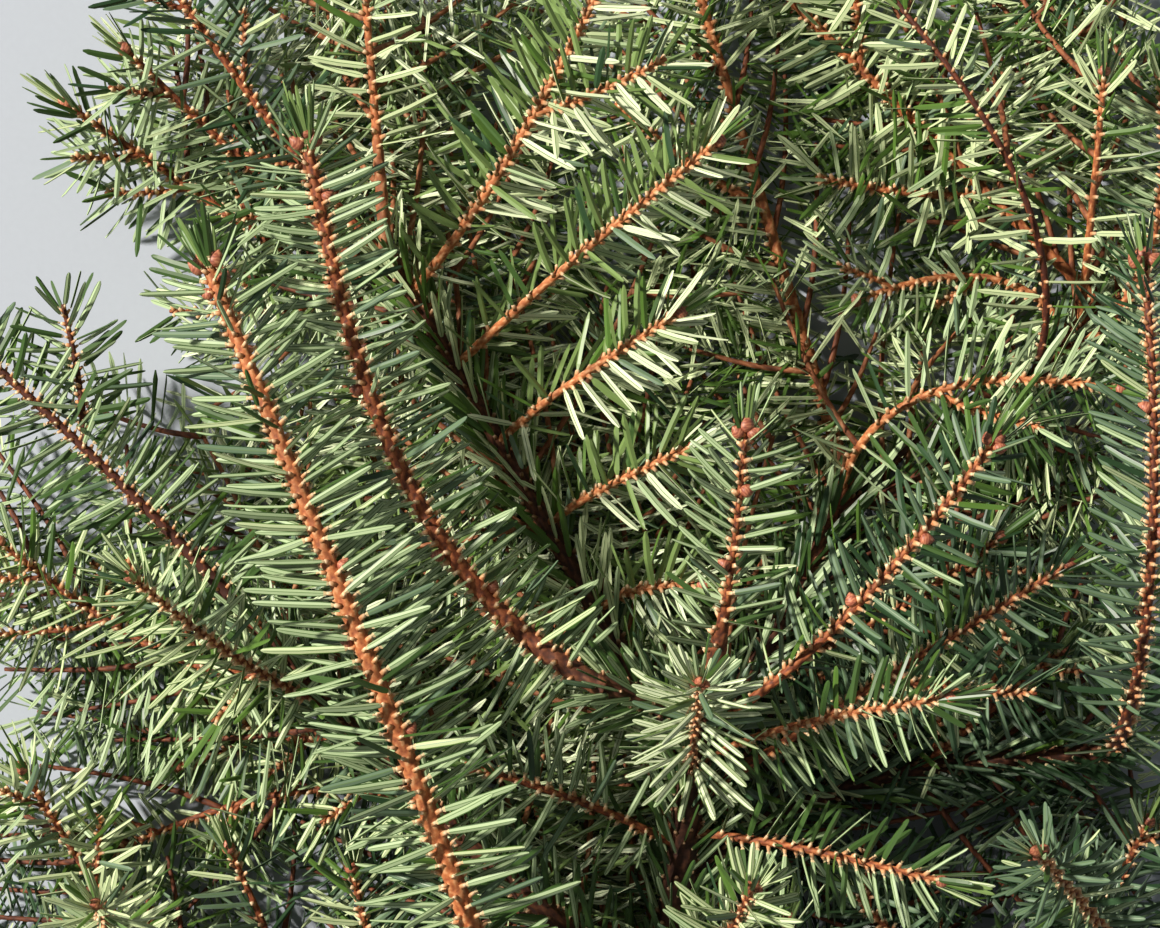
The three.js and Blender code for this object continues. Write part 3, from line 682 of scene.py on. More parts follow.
def needleRoomMask(found, mass):
    keep = found["root"][:, 2] > needles["leastRoot"]
    ends = np.vstack([found["root"], found["tip"]])
    others = linesNear(ends, linesBeside(mass), needles["searched"])
    own = linesNear(ends, mass["lines"], needles["searched"])
    for share in needles["checkedAt"]:
        points = found["root"] * (1 - share) + found["tip"] * share
        away = distanceTo(points, others)
        keep &= (away > needles["twigClearance"]) & (away - distanceTo(points, own) > -needles["overlap"])
        keep &= clearOfWood(points, needles["woodClearance"])
    return keep


def linear(hexColour):
    values = [int(hexColour[i:i + 2], 16) / 255 for i in (1, 3, 5)]
    return [v / 12.92 if v <= 0.04045 else ((v + 0.055) / 1.055) ** 2.4 for v in values] + [1.0]


# one node with its settings, its values or links by socket, and the stops of a colour ramp
def addNode(tree, kind, inputs=None, stops=(), **settings):
    node = tree.nodes.new(kind)
    for name, value in settings.items():
        setattr(node, name, value)
    for key, value in (inputs or {}).items():
        if isinstance(value, bpy.types.NodeSocket):
            tree.links.new(value, node.inputs[key])
        else:
            node.inputs[key].default_value = value
    for i, (position, colour) in enumerate(stops):
        stop = node.color_ramp.elements[i] if i < 2 else node.color_ramp.elements.new(position)
        stop.position = position
        stop.color = linear(colour)
    return node


def newMesh(name, points, faces):
    mesh = bpy.data.meshes.new(name)
    mesh.from_pydata((np.asarray(points) * mm).tolist(), [], [[int(i) for i in face] for face in faces])
    return mesh


def newObject(name, mesh):
    thing = bpy.data.objects.new(name, mesh)
    bpy.context.scene.collection.objects.link(thing)
    return thing


attributeFields = {"FLOAT": "value", "INT": "value", "FLOAT_VECTOR": "vector"}


def setAttribute(mesh, name, values, kind="FLOAT", domain="POINT"):
    values = np.asarray(values, np.int32 if kind == "INT" else np.float32)
    mesh.attributes.new(name, kind, domain).data.foreach_set(attributeFields[kind], values.ravel())


# a material whose shader has the sockets that "surface" gives for its tree
def newMaterial(name, surface):
    material = bpy.data.materials.new(name)
    material.use_nodes = True
    tree = material.node_tree
    tree.nodes.clear()
    shader = addNode(tree, "ShaderNodeBsdfPrincipled", surface(tree))
    addNode(tree, "ShaderNodeOutputMaterial", {"Surface": shader.outputs["BSDF"]})
    return material


# a waxy leaf skin in one plain colour, one for each tint that the sprays give their needles
def leafMaterial(name, colour, roughness):
    return newMaterial(name, lambda tree: {
        "Base Color": linear(colour), "Roughness": roughness, "IOR": leafLooks["ior"]})


leafLooks = {
    # tints from dark to pale: tint 0 is painted shade, for the sprays that lie in shade, and tint 3 painted
    # light, for sprays in the shadow of nearer shoots and for the bright star shoot
    "green": ["#2e492c", "#3f5b2a", "#52722e", "#728a4e"],
    "band": ["#647b60", "#a5b98c", "#c2d09e", "#d5e0b8"],
    "midrib": "#60794a",
    "foot": "#cdb78a",
    "greenRoughness": 0.4,
    "bandRoughness": 0.5,
    "ior": 1.45,
}
# the wax of the stomatal bands scatters pale light, and the green skin beside it has a soft gloss
greens = [leafMaterial(f"needleSkin{i}", colour, leafLooks["greenRoughness"])
          for i, colour in enumerate(leafLooks["green"])]
bands = [leafMaterial(f"waxBand{i}", colour, leafLooks["bandRoughness"])
         for i, colour in enumerate(leafLooks["band"])]
midrib = leafMaterial("needleMidrib", leafLooks["midrib"], leafLooks["greenRoughness"])
needleFoot = leafMaterial("needleFoot", leafLooks["foot"], leafLooks["bandRoughness"])

barkLooks = {
    "young": [(0.0, "#4c1f0d"), (0.25, "#85421f"), (0.55, "#b56c3c"), (0.78, "#d39f6f"), (1.0, "#f1d6b0")],
    "old": [(0.0, "#26120b"), (0.3, "#422315"), (0.62, "#663d28"), (0.85, "#9a6d4c"), (1.0, "#cfa680")],
    "bud": [(0.0, "#55281f"), (0.45, "#98533f"), (0.8, "#ca8562"), (1.0, "#e9bb98")],
    "blotch": 5,                 # mm, size of the darker and lighter patches
    "blotchNoise": (0.3, 0.7),
    "blotchLevels": (0.72, 1.22),
    "grain": 0.7,                # mm
    "grainDepth": 0.12,          # mm
    "grainStrength": 0.35,
    "flecks": 0.55,              # how far the grain shifts the ridge level
    "roughness": 0.72,
    "budRoughness": 0.5,
    "ior": 1.5,
}


# dry ridged bark and bud scales: dark in the furrows, which is painted shade, and paler on crests and pegs,
# in patches a few mm wide
def barkSurface(tree, stops, oldStops, roughness):
    place = addNode(tree, "ShaderNodeTexCoord").outputs["Object"]
    blotch = addNode(tree, "ShaderNodeTexNoise", {
        "Vector": place, "Scale": 1 / (barkLooks["blotch"] * mm), "Detail": 3.0}).outputs["Fac"]
    grain = addNode(tree, "ShaderNodeTexNoise", {
        "Vector": place, "Scale": 1 / (barkLooks["grain"] * mm), "Detail": 2.0}).outputs["Fac"]
    ridge = addNode(tree, "ShaderNodeAttribute", attribute_name="ridge").outputs["Fac"]
    flecks = barkLooks["flecks"]
    shifted = addNode(tree, "ShaderNodeMath", {
        0: grain, 1: flecks, 2: ridge}, operation="MULTIPLY_ADD").outputs[0]
    level = addNode(tree, "ShaderNodeMath", {0: shifted, 1: flecks / 2}, operation="SUBTRACT").outputs[0]
    colour = addNode(tree, "ShaderNodeValToRGB", {"Fac": level}, stops).outputs["Color"]
    if oldStops:
        age = addNode(tree, "ShaderNodeAttribute", attribute_name="age").outputs["Fac"]
        old = addNode(tree, "ShaderNodeValToRGB", {"Fac": level}, oldStops).outputs["Color"]
        colour = addNode(tree, "ShaderNodeMix", {0: age, 6: colour, 7: old}, data_type="RGBA").outputs[2]
    (low, high), (least, most) = barkLooks["blotchNoise"], barkLooks["blotchLevels"]
    value = addNode(tree, "ShaderNodeMapRange", {
        "Value": blotch, "From Min": low, "From Max": high, "To Min": least, "To Max": most}).outputs[0]
    tinted = addNode(tree, "ShaderNodeHueSaturation", {"Color": colour, "Value": value})
    bump = addNode(tree, "ShaderNodeBump", {
        "Height": grain, "Strength": barkLooks["grainStrength"], "Distance": barkLooks["grainDepth"] * mm})
    return {"Base Color": tinted.outputs["Color"], "Roughness": roughness, "IOR": barkLooks["ior"],
            "Normal": bump.outputs["Normal"]}


spruceBark = newMaterial("spruceBark", lambda tree: barkSurface(
    tree, barkLooks["young"], barkLooks["old"], barkLooks["roughness"]))
budScales = newMaterial("budScales", lambda tree: barkSurface(
    tree, barkLooks["bud"], None, barkLooks["budRoughness"]))
print("materials made")

# what the growth rule leaves for the trees on each point and face
storedKinds = {**dict.fromkeys(("heading", "facing", "forward"), "FLOAT_VECTOR"),
               **dict.fromkeys(("roll", "reach", "size", "tint", "curl", "part", "along"), "FLOAT")}


# a tree with its named inputs, and the stored fields that it reads
def newTree(name, inputs, fields):
    tree = bpy.data.node_groups.new(name, "GeometryNodeTree")
    tree.interface.new_socket("Geometry", in_out="INPUT", socket_type="NodeSocketGeometry")
    for label, kind in inputs.items():
        tree.interface.new_socket(label, in_out="INPUT", socket_type="NodeSocket" + kind)
    tree.interface.new_socket("Geometry", in_out="OUTPUT", socket_type="NodeSocketGeometry")
    stored = {field: addNode(tree, "GeometryNodeInputNamedAttribute", {"Name": field},
                             data_type=storedKinds[field]).outputs["Attribute"] for field in fields}
    return tree, addNode(tree, "NodeGroupInput").outputs, stored


# the mesh that a tree makes from a holder's own mesh, as a plain object at the origin
def grown(name, holder, tree, values):
    modifier = holder.modifiers.new("grow", "NODES")
    modifier.node_group = tree
    for item in tree.interface.items_tree:
        if item.in_out == "INPUT" and item.name in values:
            modifier[item.identifier] = values[item.name]
    bpy.context.view_layer.update()
    reader = bpy.context.evaluated_depsgraph_get()
    mesh = bpy.data.meshes.new_from_object(holder.evaluated_get(reader), preserve_all_data_layers=True,
                                           depsgraph=reader)
    holder.modifiers.clear()
    oldMesh = holder.data
    bpy.data.objects.remove(holder)
    bpy.data.meshes.remove(oldMesh)
    mesh.name = name
    for label in [attribute.name for attribute in mesh.attributes if attribute.name in storedKinds]:
        mesh.attributes.remove(mesh.attributes[label])
    return newObject(name, mesh)


# one needle of unit length along Y, its banded side towards +Z: "outline" is place and width along it,
# "section" goes round it from one margin over band, midrib and band to the other and the keel, and "parts"
# says what each side of that is, 0 green skin, 1 band or 2 midrib. Those at the back and low down are plainer
needleForms = {
    "needle": {
        "outline": [(0, 0.42), (0.04, 0.78), (0.16, 1), (0.56, 1), (0.87, 0.9), (0.965, 0.62), (1.0, 0.2)],
        "section": [(1, -0.06), (0.78, 0.04), (0.11, 0.32), (-0.11, 0.32), (-0.78, 0.04), (-1, -0.06),
                    (0, -0.46)],
        "parts": [0, 1, 2, 1, 0, 0, 0]},
    "backNeedle": {
        "outline": [(0, 0.5), (0.1, 0.95), (0.5, 1), (0.88, 0.88), (1.0, 0.3)],
        "section": [(1, -0.04), (0.12, 0.3), (-0.12, 0.3), (-1, -0.04), (0, -0.46)],
        "parts": [1, 2, 1, 0, 0]},
    "lowNeedle": {
        "outline": [(0, 0.6), (0.84, 1.0), (1.0, 0.3)],
        "section": [(1, -0.02), (0.14, 0.22), (-0.14, 0.22), (-1, -0.02), (0, -0.4)],
        "parts": [1, 2, 1, 0, 0]},
}
needleForm = {"halfWidth": 0.72, "footEnd": 0.04, "footPart": 3}


def makeNeedle(name):
    outline, section, sectionParts = (needleForms[name][key] for key in ("outline", "section", "parts"))
    count, half = len(section), needleForm["halfWidth"]
    points = [(x * half * width, place / mm, z * half * width ** 0.5)
              for place, width in outline for x, z in section]
    faces, parts = [], []
    for ring in range(len(outline) - 1):
        low = ring * count
        foot = outline[ring + 1][0] <= needleForm["footEnd"]
        for i in range(count):
            j = (i + 1) % count
            faces.append((low + i, low + count + i, low + count + j, low + j))
            parts.append(needleForm["footPart"] if foot else sectionParts[i])
    last = (len(outline) - 1) * count
    faces += [list(range(count)), list(range(last + count - 1, last - 1, -1))]
    parts += [needleForm["footPart"], 0]
    mesh = newMesh(name, points, faces)
    setAttribute(mesh, "part", parts, "INT", "FACE")
    setAttribute(mesh, "along", [place for place, width in outline for corner in section])
    return newObject(name, mesh)


# the part of a needle and the tint of its spray make one number, which settles its material
partStep = 10.0
oneTint, middleTint, allTints = 0.4, 1.5, 1.9  # room round one tint, and round the middle of all
dealt = [(i, oneTint, material) for i, material in enumerate(greens)]
dealt += [(partStep + i, oneTint, material) for i, material in enumerate(bands)]
dealt += [(2 * partStep + middleTint, allTints, midrib), (3 * partStep + middleTint, allTints, needleFoot)]


# real copies of the pattern of that name on points, as wide as a random share of their size
def copiesOn(tree, given, points, patternName, rotation, size, scale, wideAxes):
    pattern = addNode(tree, "GeometryNodeObjectInfo", {"Object": given[patternName]}).outputs["Geometry"]
    width = addNode(tree, "FunctionNodeRandomValue", {
        2: given["Least Width"], 3: given["Most Width"], "Seed": given["Seed"]}).outputs[1]
    wide = addNode(tree, "ShaderNodeMath", {0: width, 1: size}, operation="MULTIPLY").outputs[0]
    scale = addNode(tree, "ShaderNodeCombineXYZ", {**scale, **dict.fromkeys(wideAxes, wide)}).outputs[0]
    placed = addNode(tree, "GeometryNodeInstanceOnPoints", {
        "Points": points, "Instance": pattern, "Rotation": rotation, "Scale": scale}).outputs[0]
    return addNode(tree, "GeometryNodeRealizeInstances", {"Geometry": placed}).outputs[0]


def makeNeedleTree():
    tree, given, stored = newTree(
        "needleTree", {"Needle": "Object", "Seed": "Int", "Curl": "Float", "Least Width": "Float",
                       "Most Width": "Float"},
        ("heading", "facing", "forward", "roll", "reach", "size", "tint", "curl", "part", "along"))
    curl = addNode(tree, "FunctionNodeRandomValue", {3: given["Curl"], "Seed": given["Seed"]}).outputs[1]
    marked = addNode(tree, "GeometryNodeStoreNamedAttribute", {
        "Geometry": given["Geometry"], "Name": "curl", "Value": curl}, data_type="FLOAT").outputs[0]
    turned = addNode(tree, "FunctionNodeAxesToRotation", {
        "Primary Axis": stored["heading"], "Secondary Axis": stored["facing"]},
        primary_axis="Y", secondary_axis="Z").outputs[0]
    roll = addNode(tree, "FunctionNodeAxisAngleToRotation", {
        "Axis": (0, 1, 0), "Angle": stored["roll"]}).outputs[0]
    rotation = addNode(tree, "FunctionNodeRotateRotation", {
        "Rotation": turned, "Rotate By": roll}, rotation_space="LOCAL").outputs[0]
    size, reach = stored["size"], stored["reach"]
    real = copiesOn(tree, given, marked, "Needle", rotation, size, {"Y": reach}, ("X", "Z"))
    along = stored["along"]
    square = addNode(tree, "ShaderNodeMath", {0: along, 1: along}, operation="MULTIPLY").outputs[0]
    amount = addNode(tree, "ShaderNodeMath", {0: square, 1: stored["curl"]}, operation="MULTIPLY").outputs[0]
    offset = addNode(tree, "ShaderNodeVectorMath", {
        0: stored["forward"], "Scale": amount}, operation="SCALE").outputs[0]
    shape = addNode(tree, "GeometryNodeSetPosition", {"Geometry": real, "Offset": offset}).outputs[0]
    code = addNode(tree, "ShaderNodeMath", {
        0: stored["part"], 1: partStep, 2: stored["tint"]}, operation="MULTIPLY_ADD").outputs[0]
    for value, room, material in dealt:
        chosen = addNode(tree, "FunctionNodeCompare", {
            0: code, 1: float(value), "Epsilon": room}, operation="EQUAL").outputs[0]
        shape = addNode(tree, "GeometryNodeSetMaterial", {
            "Geometry": shape, "Selection": chosen, "Material": material}).outputs[0]
    addNode(tree, "NodeGroupOutput", {0: shape})
    return tree


# sets copies of one pattern on points, and joins them with the holder's own mesh
def makeScatterTree():
    tree, given, stored = newTree(
        "scatterTree", {"Places": "Object", "Pattern": "Object", "Seed": "Int", "Least Width": "Float",
                        "Most Width": "Float", "Skin": "Material"}, ("heading", "forward", "size"))
    places = addNode(tree, "GeometryNodeObjectInfo", {"Object": given["Places"]}).outputs["Geometry"]
    turned = addNode(tree, "FunctionNodeAxesToRotation", {
        "Primary Axis": stored["heading"], "Secondary Axis": stored["forward"]},
        primary_axis="Z", secondary_axis="Y").outputs[0]
    size = stored["size"]
    real = copiesOn(tree, given, places, "Pattern", turned, size, {"Z": size}, ("X", "Y"))
    skinned = addNode(tree, "GeometryNodeSetMaterial", {
        "Geometry": real, "Material": given["Skin"]}).outputs[0]
    joinedUp = addNode(tree, "GeometryNodeJoinGeometry", {0: given["Geometry"]})
    tree.links.new(skinned, joinedUp.inputs[0])
    addNode(tree, "NodeGroupOutput", {0: joinedUp.outputs[0]})
    return tree


# a solid of rings round Z, each row of a ring x, y, z and ridge level, with a flat foot and a pointed tip
def ringSolid(name, rings, tipHeight, tipLevel):
    sides = len(rings[0])
    rows = [row for ring in rings for row in ring] + [(0, 0, tipHeight, tipLevel)]
    last = (len(rings) - 1) * sides
    faces = [(low + i, low + (i + 1) % sides, low + sides + (i + 1) % sides, low + sides + i)
             for low in range(0, last, sides) for i in range(sides)]
    faces += [(last + i, last + (i + 1) % sides, len(rows) - 1) for i in range(sides)]
    faces.append(list(range(sides - 1, -1, -1)))
    mesh = newMesh(name, [row[:3] for row in rows], faces)
    setAttribute(mesh, "ridge", [row[3] for row in rows])
    return newObject(name, mesh)


# a peg that a needle stands on, 1 mm long along Z before its size is set; a ring is height, radius and level
pegForm = {"sides": 5, "rings": [(-0.35, 0.6, 0.6), (0.4, 0.47, 0.78), (0.9, 0.4, 0.93)], "tip": (1.08, 1.0)}


def makePeg():
    turns = np.arange(pegForm["sides"]) * 2 * math.pi / pegForm["sides"]
    rings = [[(radius * math.cos(a), radius * math.sin(a), height, level) for a in turns]
             for height, radius, level in pegForm["rings"]]
    return ringSolid("peg", rings, *pegForm["tip"])


# a bud: an egg of overlapping scales, 1 mm long along Z before its size is set
budForm = {
    "sides": 12, "rings": 12, "halfWidth": 0.42, "fullness": 0.72, "firstRing": 0.3, "sunk": 0.04,
    "scaleRows": 5.0, "scaleColumns": 4, "winding": 2, "scallop": 0.2, "step": 0.05,
    "levels": (0.25, 0.6), "tip": (1.0, 0.3),
}


def makeBud():
    form, rings = budForm, []
    for ring in range(form["rings"]):
        t = (ring + form["firstRing"]) / form["rings"]
        width = form["halfWidth"] * math.sin(math.pi * t ** form["fullness"]) ** form["fullness"]
        rings.append([])
        for i in range(form["sides"]):
            turn = i / form["sides"]
            row = t * form["scaleRows"] + form["winding"] * turn
            row += form["scallop"] * math.cos(2 * math.pi * turn * form["scaleColumns"])
            step = 1 - row % 1.0
            radius = width * (1 + form["step"] * 2 * step)
            angle = 2 * math.pi * turn
            level = form["levels"][0] + form["levels"][1] * (1 - step)
            rings[-1].append((radius * math.cos(angle), radius * math.sin(angle), t - form["sunk"], level))
    return ringSolid("bud", rings, *form["tip"])


needlePattern, backPattern, lowPattern = (makeNeedle(name) for name in needleForms)
pegPattern, budPattern = makePeg(), makeBud()
needleTree, scatterTree = makeNeedleTree(), makeScatterTree()
print("patterns and trees made")

# bark relief: long cushions that run down from each peg and are parted by furrows
relief = {
    "cellAspect": 2.3,
    "below": 0.3,                # of a cell's length, how far its middle lies below its peg
    "searched": 1.5,             # cells up and down, for the nearest pegs
    "furrow": 0.7,               # mm, width of the slopes between cushions
    "depth": 0.2,                # of the radius
    "deepest": 0.45,             # mm
    "crest": 0.62,               # highest ridge level of the bark itself
    "rise": (0.2, 0.8),          # height of a cushion at its foot, and what it gains up to its peg
    # the low ridge level of the furrows makes them darker, which is painted shade
    "shade": (0.1, 0.9),         # ridge level in the furrows, and what it gains
    "endBulge": 0.35,            # of the radius
    "endLevels": [0.2, 0.3],
}


# at each place along and round a tube, how far it lies out of a furrow and how far up its cushion
def cushionsAt(pegs, s, turns, radii, aspect):
    spacing = 1 / pegs["perMm"]
    cell = math.sqrt(spacing * (2 * math.pi * np.mean(radii)) / aspect) * aspect
    below = relief["below"] * cell
    reach = int(math.ceil(relief["searched"] * cell * pegs["perMm"])) + 2
    nearest = np.round((s + below - pegs["bare"]) * pegs["perMm"] - 0.5).astype(int)
    index = nearest[:, None] + np.arange(-reach, reach + 1)
    up = s[:, None] - (pegs["bare"] + (index + 0.5) * spacing - below)
    across = turns[None, :, None] - np.radians(pegTurn(pegs, index))[:, None, :]
    across = ((across + math.pi) % (2 * math.pi) - math.pi) * radii[:, None, None] * aspect
    away = np.sqrt(across ** 2 + up[:, None, :] ** 2)
    order = np.argpartition(away, 1, axis=2)[..., :2]
    first = np.take_along_axis(away, order[..., :1], 2)[..., 0]
    second = np.take_along_axis(away, order[..., 1:], 2)[..., 0]
    owner = np.where(first <= second, order[..., 0], order[..., 1])
    rise = np.take_along_axis(up, owner, 1) / cell + 0.5
    edge = smooth(abs(second - first) / (relief["furrow"] * aspect))
    return edge, np.clip(rise, 0, 1)


# a closed tube along a line; start is in mm along it
def barkTube(line, radiusAt, ageAt, toneAndLight, pegs, detail, start=0.0, aspect=relief["cellAspect"], depth=1.0,
             cutAt=None):
    length, sides = line["plan"]["length"], detail["sides"]
    rings = max(4, int(round((length - start) / detail["step"])))
    s = np.linspace(start, length, rings + 1)
    turns = np.arange(sides) * 2 * math.pi / sides
    radii = radiusAt(s)
    edge, rise = cushionsAt(pegs, s, turns, radii, aspect)
    deep = np.minimum(relief["depth"] * radii, relief["deepest"])[:, None] * depth
    level = edge * (relief["rise"][0] + relief["rise"][1] * rise)
    around = radii[:, None] - deep * (1 - level)
    # the ridge level sets the bark's colour: low and dark in the furrows, which is painted shade, and shifted
    # for each shoot, partly as painted sunlight and shade
    ridge = relief["crest"] * (relief["shade"][0] + relief["shade"][1] * level) + toneAndLight
    centre = pointAt(line, s / length)
    along, side, under = frameAt(line, s / length)
    ringPoints = centre[:, None] + around[..., None] * outwardAt(side[:, None], under[:, None], turns)
    if cutAt is not None:
        first = ringPoints[0]
        push = (cutAt - first[:, 1]) / along[0][1]
        ringPoints[0] = first + push[:, None] * along[0]
    low = (np.arange(rings) * sides)[:, None]
    i = np.arange(sides)
    j = (i + 1) % sides
    quads = np.stack([low + i, low + sides + i, low + sides + j, low + j], axis=-1).reshape(-1, 4)
    startCentre = ringPoints[0].mean(axis=0)
    endCentre = centre[-1] + along[-1] * relief["endBulge"] * radii[-1]
    points = np.vstack([ringPoints.reshape(-1, 3), startCentre, endCentre])
    last = rings * sides
    starts = [(k, (k + 1) % sides, len(points) - 2) for k in range(sides)]
    ends = [(last + (k + 1) % sides, last + k, len(points) - 1) for k in range(sides)]
    return {"points": points, "quads": quads.tolist(), "starts": starts, "ends": ends,
            "ridge": np.concatenate([ridge.ravel(), relief["endLevels"]]),
            "age": np.concatenate([np.repeat(ageAt(s), sides), ageAt(np.array([start, length]))])}


def joinTubes(name, tubes, materials):
    points, faces, ridge, age, slots = [], [], [], [], []
    base = 0
    for tube in tubes:
        for part, slot in (("quads", 0), ("starts", len(materials) - 1), ("ends", 0)):
            faces += [[base + i for i in face] for face in tube[part]]
            slots += [slot] * len(tube[part])
        points.append(tube["points"])
        ridge.append(tube["ridge"])
        age.append(tube["age"])
        base += len(tube["points"])
    mesh = newMesh(name, np.vstack(points), faces)
    setAttribute(mesh, "ridge", np.concatenate(ridge))
    setAttribute(mesh, "age", np.concatenate(age))
    for material in materials:
        mesh.materials.append(material)
    mesh.polygons.foreach_set("material_index", slots)
    return newObject(name, mesh)


def pointsObject(name, points, **fields):
    mesh = newMesh(name, points, [])
    for label, values in fields.items():
        values = np.asarray(values)
        kind = "FLOAT_VECTOR" if values.ndim == 2 else ("INT" if values.dtype.kind == "i" else "FLOAT")
        setAttribute(mesh, label, values, kind)
    return newObject(name, mesh)


def dress(piece, nodes, smoothFaces):
    piece.data.polygons.foreach_set("use_smooth", [smoothFaces] * len(piece.data.polygons))
    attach(piece, "root")
    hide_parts(*nodes)


# one piece of a holder's own mesh and of copies of a pattern on points
def scatteredPiece(name, holder, pattern, sizes, skin, slotName, nodes, points, **fields):
    places = pointsObject(name + "Points", points, **fields)
    piece = grown(name, holder, scatterTree, {
        "Places": places, "Pattern": pattern, "Seed": sizes["seed"], "Least Width": sizes["leastWidth"],
        "Most Width": sizes["mostWidth"], "Skin": skin})
    dress(piece, nodes, True)
    bpy.data.objects.remove(places)


# the masses and boughs of each region of the picture, and the tints of its low and its boughs' needles: tint
# 0, the darkest, is painted shade and tint 3, the palest, painted light
regions = {
    "front": dict(shoots=("shoot_front", "shoot_upright", "shoot_leaning", "shoot_star", "shoot_level",
                          "shoot_stem", "shoot_right_inner"),
                  boughs=("bough_front_left", "bough_front_middle", "main_stem"), lowTint=0, boughTint=1),
    "left": dict(shoots=("shoot_left",), boughs=("bough_left",), lowTint=1, boughTint=1),
    "lowLeft": dict(shoots=("shoot_low_left",), boughs=("bough_low_left",), lowTint=0, boughTint=1),
    "back": dict(shoots=("shoot_back",), boughs=("bough_back",), lowTint=3, boughTint=2),
    "right": dict(shoots=("shoot_right_edge", "shoot_low_right", "shoot_corner"),
                  boughs=("bough_low_right", "bough_corner"), lowTint=0, boughTint=0),
    "far": dict(shoots=("shoot_far", "shoot_right_under"), boughs=("bough_right", "bough_far_right"),
                lowTint=2, boughTint=1),
}
plainerRegions = ("back", "far", "lowLeft")
boughNeedles = {
    "perMm": 2.7,                # pegs; the oldest ones have lost their needles
    "bare": 3.0,
    "kept": (0.75, 1.1),         # at the foot and the tip
    "from": 0.06,                # of the bough
    "stem": (0.1, 1.1),          # as "kept", for the main stem
    "twigRoom": 1.6,
}
details = {
    "near": {"sides": 18, "step": 0.48},
    "main": {"sides": 12, "step": 0.7},
    "twig": {"sides": 8, "step": 1.0},
    "low": {"sides": 6, "step": 1.5},
    "limb": {"sides": 26, "step": 0.55},
}
# how old the bark looks at the foot and the tip of each bough, and all along a low twig, where the darker old
# bark is partly painted shade
boughAges = {"main_stem": (1, 0.9), "bough_front_left": (0.7, 0.0), "bough_front_middle": (1, 0.8),
             "bough_back": (1, 0.55), "bough_far_right": (0.6, 0.2), "bough_low_right": (1, 0.75),
             "bough_corner": (1, 0.75)}
usualAges = (1, 0.5)
# the low twigs' older, darker bark is partly painted shade under the shoots
lowAgeAndShade = 0.55


def joined(parts):
    return {key: np.concatenate([part[key] for part in parts]) for key in parts[0]}


def keptOf(found, keep):
    return {key: value[keep] for key, value in found.items()}


# the region whose longest beginning of a name fits
def regionOf(name):
    return max((len(start), region) for region, settings in regions.items()
               for start in settings["shoots"] if name.startswith(start))[1]


# the look and detail of one line's bark, and whether its needles are low ones
def settleLine(line, mass, look, main, region):
    on = mass["plan"]["on"]
    leads = main and "at" not in mass["plan"]
    line["slim"] = 1.0 if line["low"] else look["slim"]
    line["from"] = limbs[on]["plan"]["tip"] if leads else None
    line["age"] = boughAges.get(on, usualAges)[1] if leads else (lowAgeAndShade if line["low"] else 0.0)
    near = main and (region == "front" or mass["name"] == "shoot_right_edge")
    return leads, details["low" if line["low"] else ("near" if near else ("main" if main else "twig"))]


random = np.random.default_rng(needles["seed"])
needleParts, lowParts, crownParts, tubeParts = ({region: [] for region in regions} for kind in range(4))
for mass in masses:
    region, look = regionOf(mass["name"]), lookOf(mass["name"])
    tint = int(random.integers(0, 3)) if look["tint"] is None else look["tint"]
    for line in mass["lines"]:
        main, low = line is mass["lines"][0], line["low"]
        leads, detail = settleLine(line, mass, look, main, region)
        bare = (look["bare"] or mass["bare"]) if main else growth["bareFoot"] * needles["twigBare"]
        pegs = pegsOf(line, bare, needles["lowPerMm"] if low else look["perMm"], random)
        settings = (lowLook, regions[region]["lowTint"]) if low else (look, tint)
        found = needlesOn(line, pegs, random, *settings)
        (lowParts if low else needleParts)[region].append(keptOf(found, needleRoomMask(found, mass)))
        if main:
            crownParts[region].append(crownOn(line, look, random))
        length = line["plan"]["length"]
        start = -leaderFoot["inside"] if leads else 0.0
        tubeParts[region].append(barkTube(
            line, lambda s: twigRadius(line, s / length), lambda s: twigAge(line, s / length), look["toneAndLight"],
            pegs, detail, start))
twigPegs = {region: joined(parts) for region, parts in needleParts.items()}
for region in regions:
    lowCount = sum(len(part["root"]) for part in lowParts[region])
    print(region, "needles", len(twigPegs[region]["root"]), "low", lowCount)

# the pegs of a bough, of which some still bear a needle
boughPegs = {name: pegsOf(limb, boughNeedles["bare"], boughNeedles["perMm"], random)
             for name, limb in limbs.items()}


def limbRadius(limb, s):
    share = np.clip(s / limb["plan"]["length"], 0, 1)
    return limb["plan"]["radius"] * (1 - share) + limb["plan"]["tip"] * share


def limbAge(limb, s):
    foot, tip = boughAges.get(limb["plan"]["name"], usualAges)
    return foot + (tip - foot) * s / limb["plan"]["length"]


for region, settings in regions.items():
    for name in settings["boughs"]:
        plan, pegs = limbs[name]["plan"], boughPegs[name]
        evenPlan = dict(plan, radius=(plan["radius"] + plan["tip"]) / 2)
        even = dict(limbs[name], plan=evenPlan, slim=1.0, **{"from": None})
        found = needlesOn(even, pegs, random, boughLook, settings["boughTint"])
        share = pegs["s"] / plan["length"]
        atFoot, atTip = boughNeedles["stem" if name == "main_stem" else "kept"]
        keep = random.uniform(size=len(share)) < atFoot * (1 - share) + atTip * share
        keep &= share > boughNeedles["from"]
        keep &= distanceTo(found["tip"], linesBeside()) > boughNeedles["twigRoom"]
        if keep.any():
            needleParts[region].append(keptOf(found, keep))

curls = {"seed": 7, "most": 1.5, "leastWidth": 0.88, "mostWidth": 1.1}
pegSizes = {"leastWidth": 0.8, "mostWidth": 1.15, "seed": 11}
regionNodes = {region: [mass["name"] for mass in masses if regionOf(mass["name"]) == region]
               for region in regions}


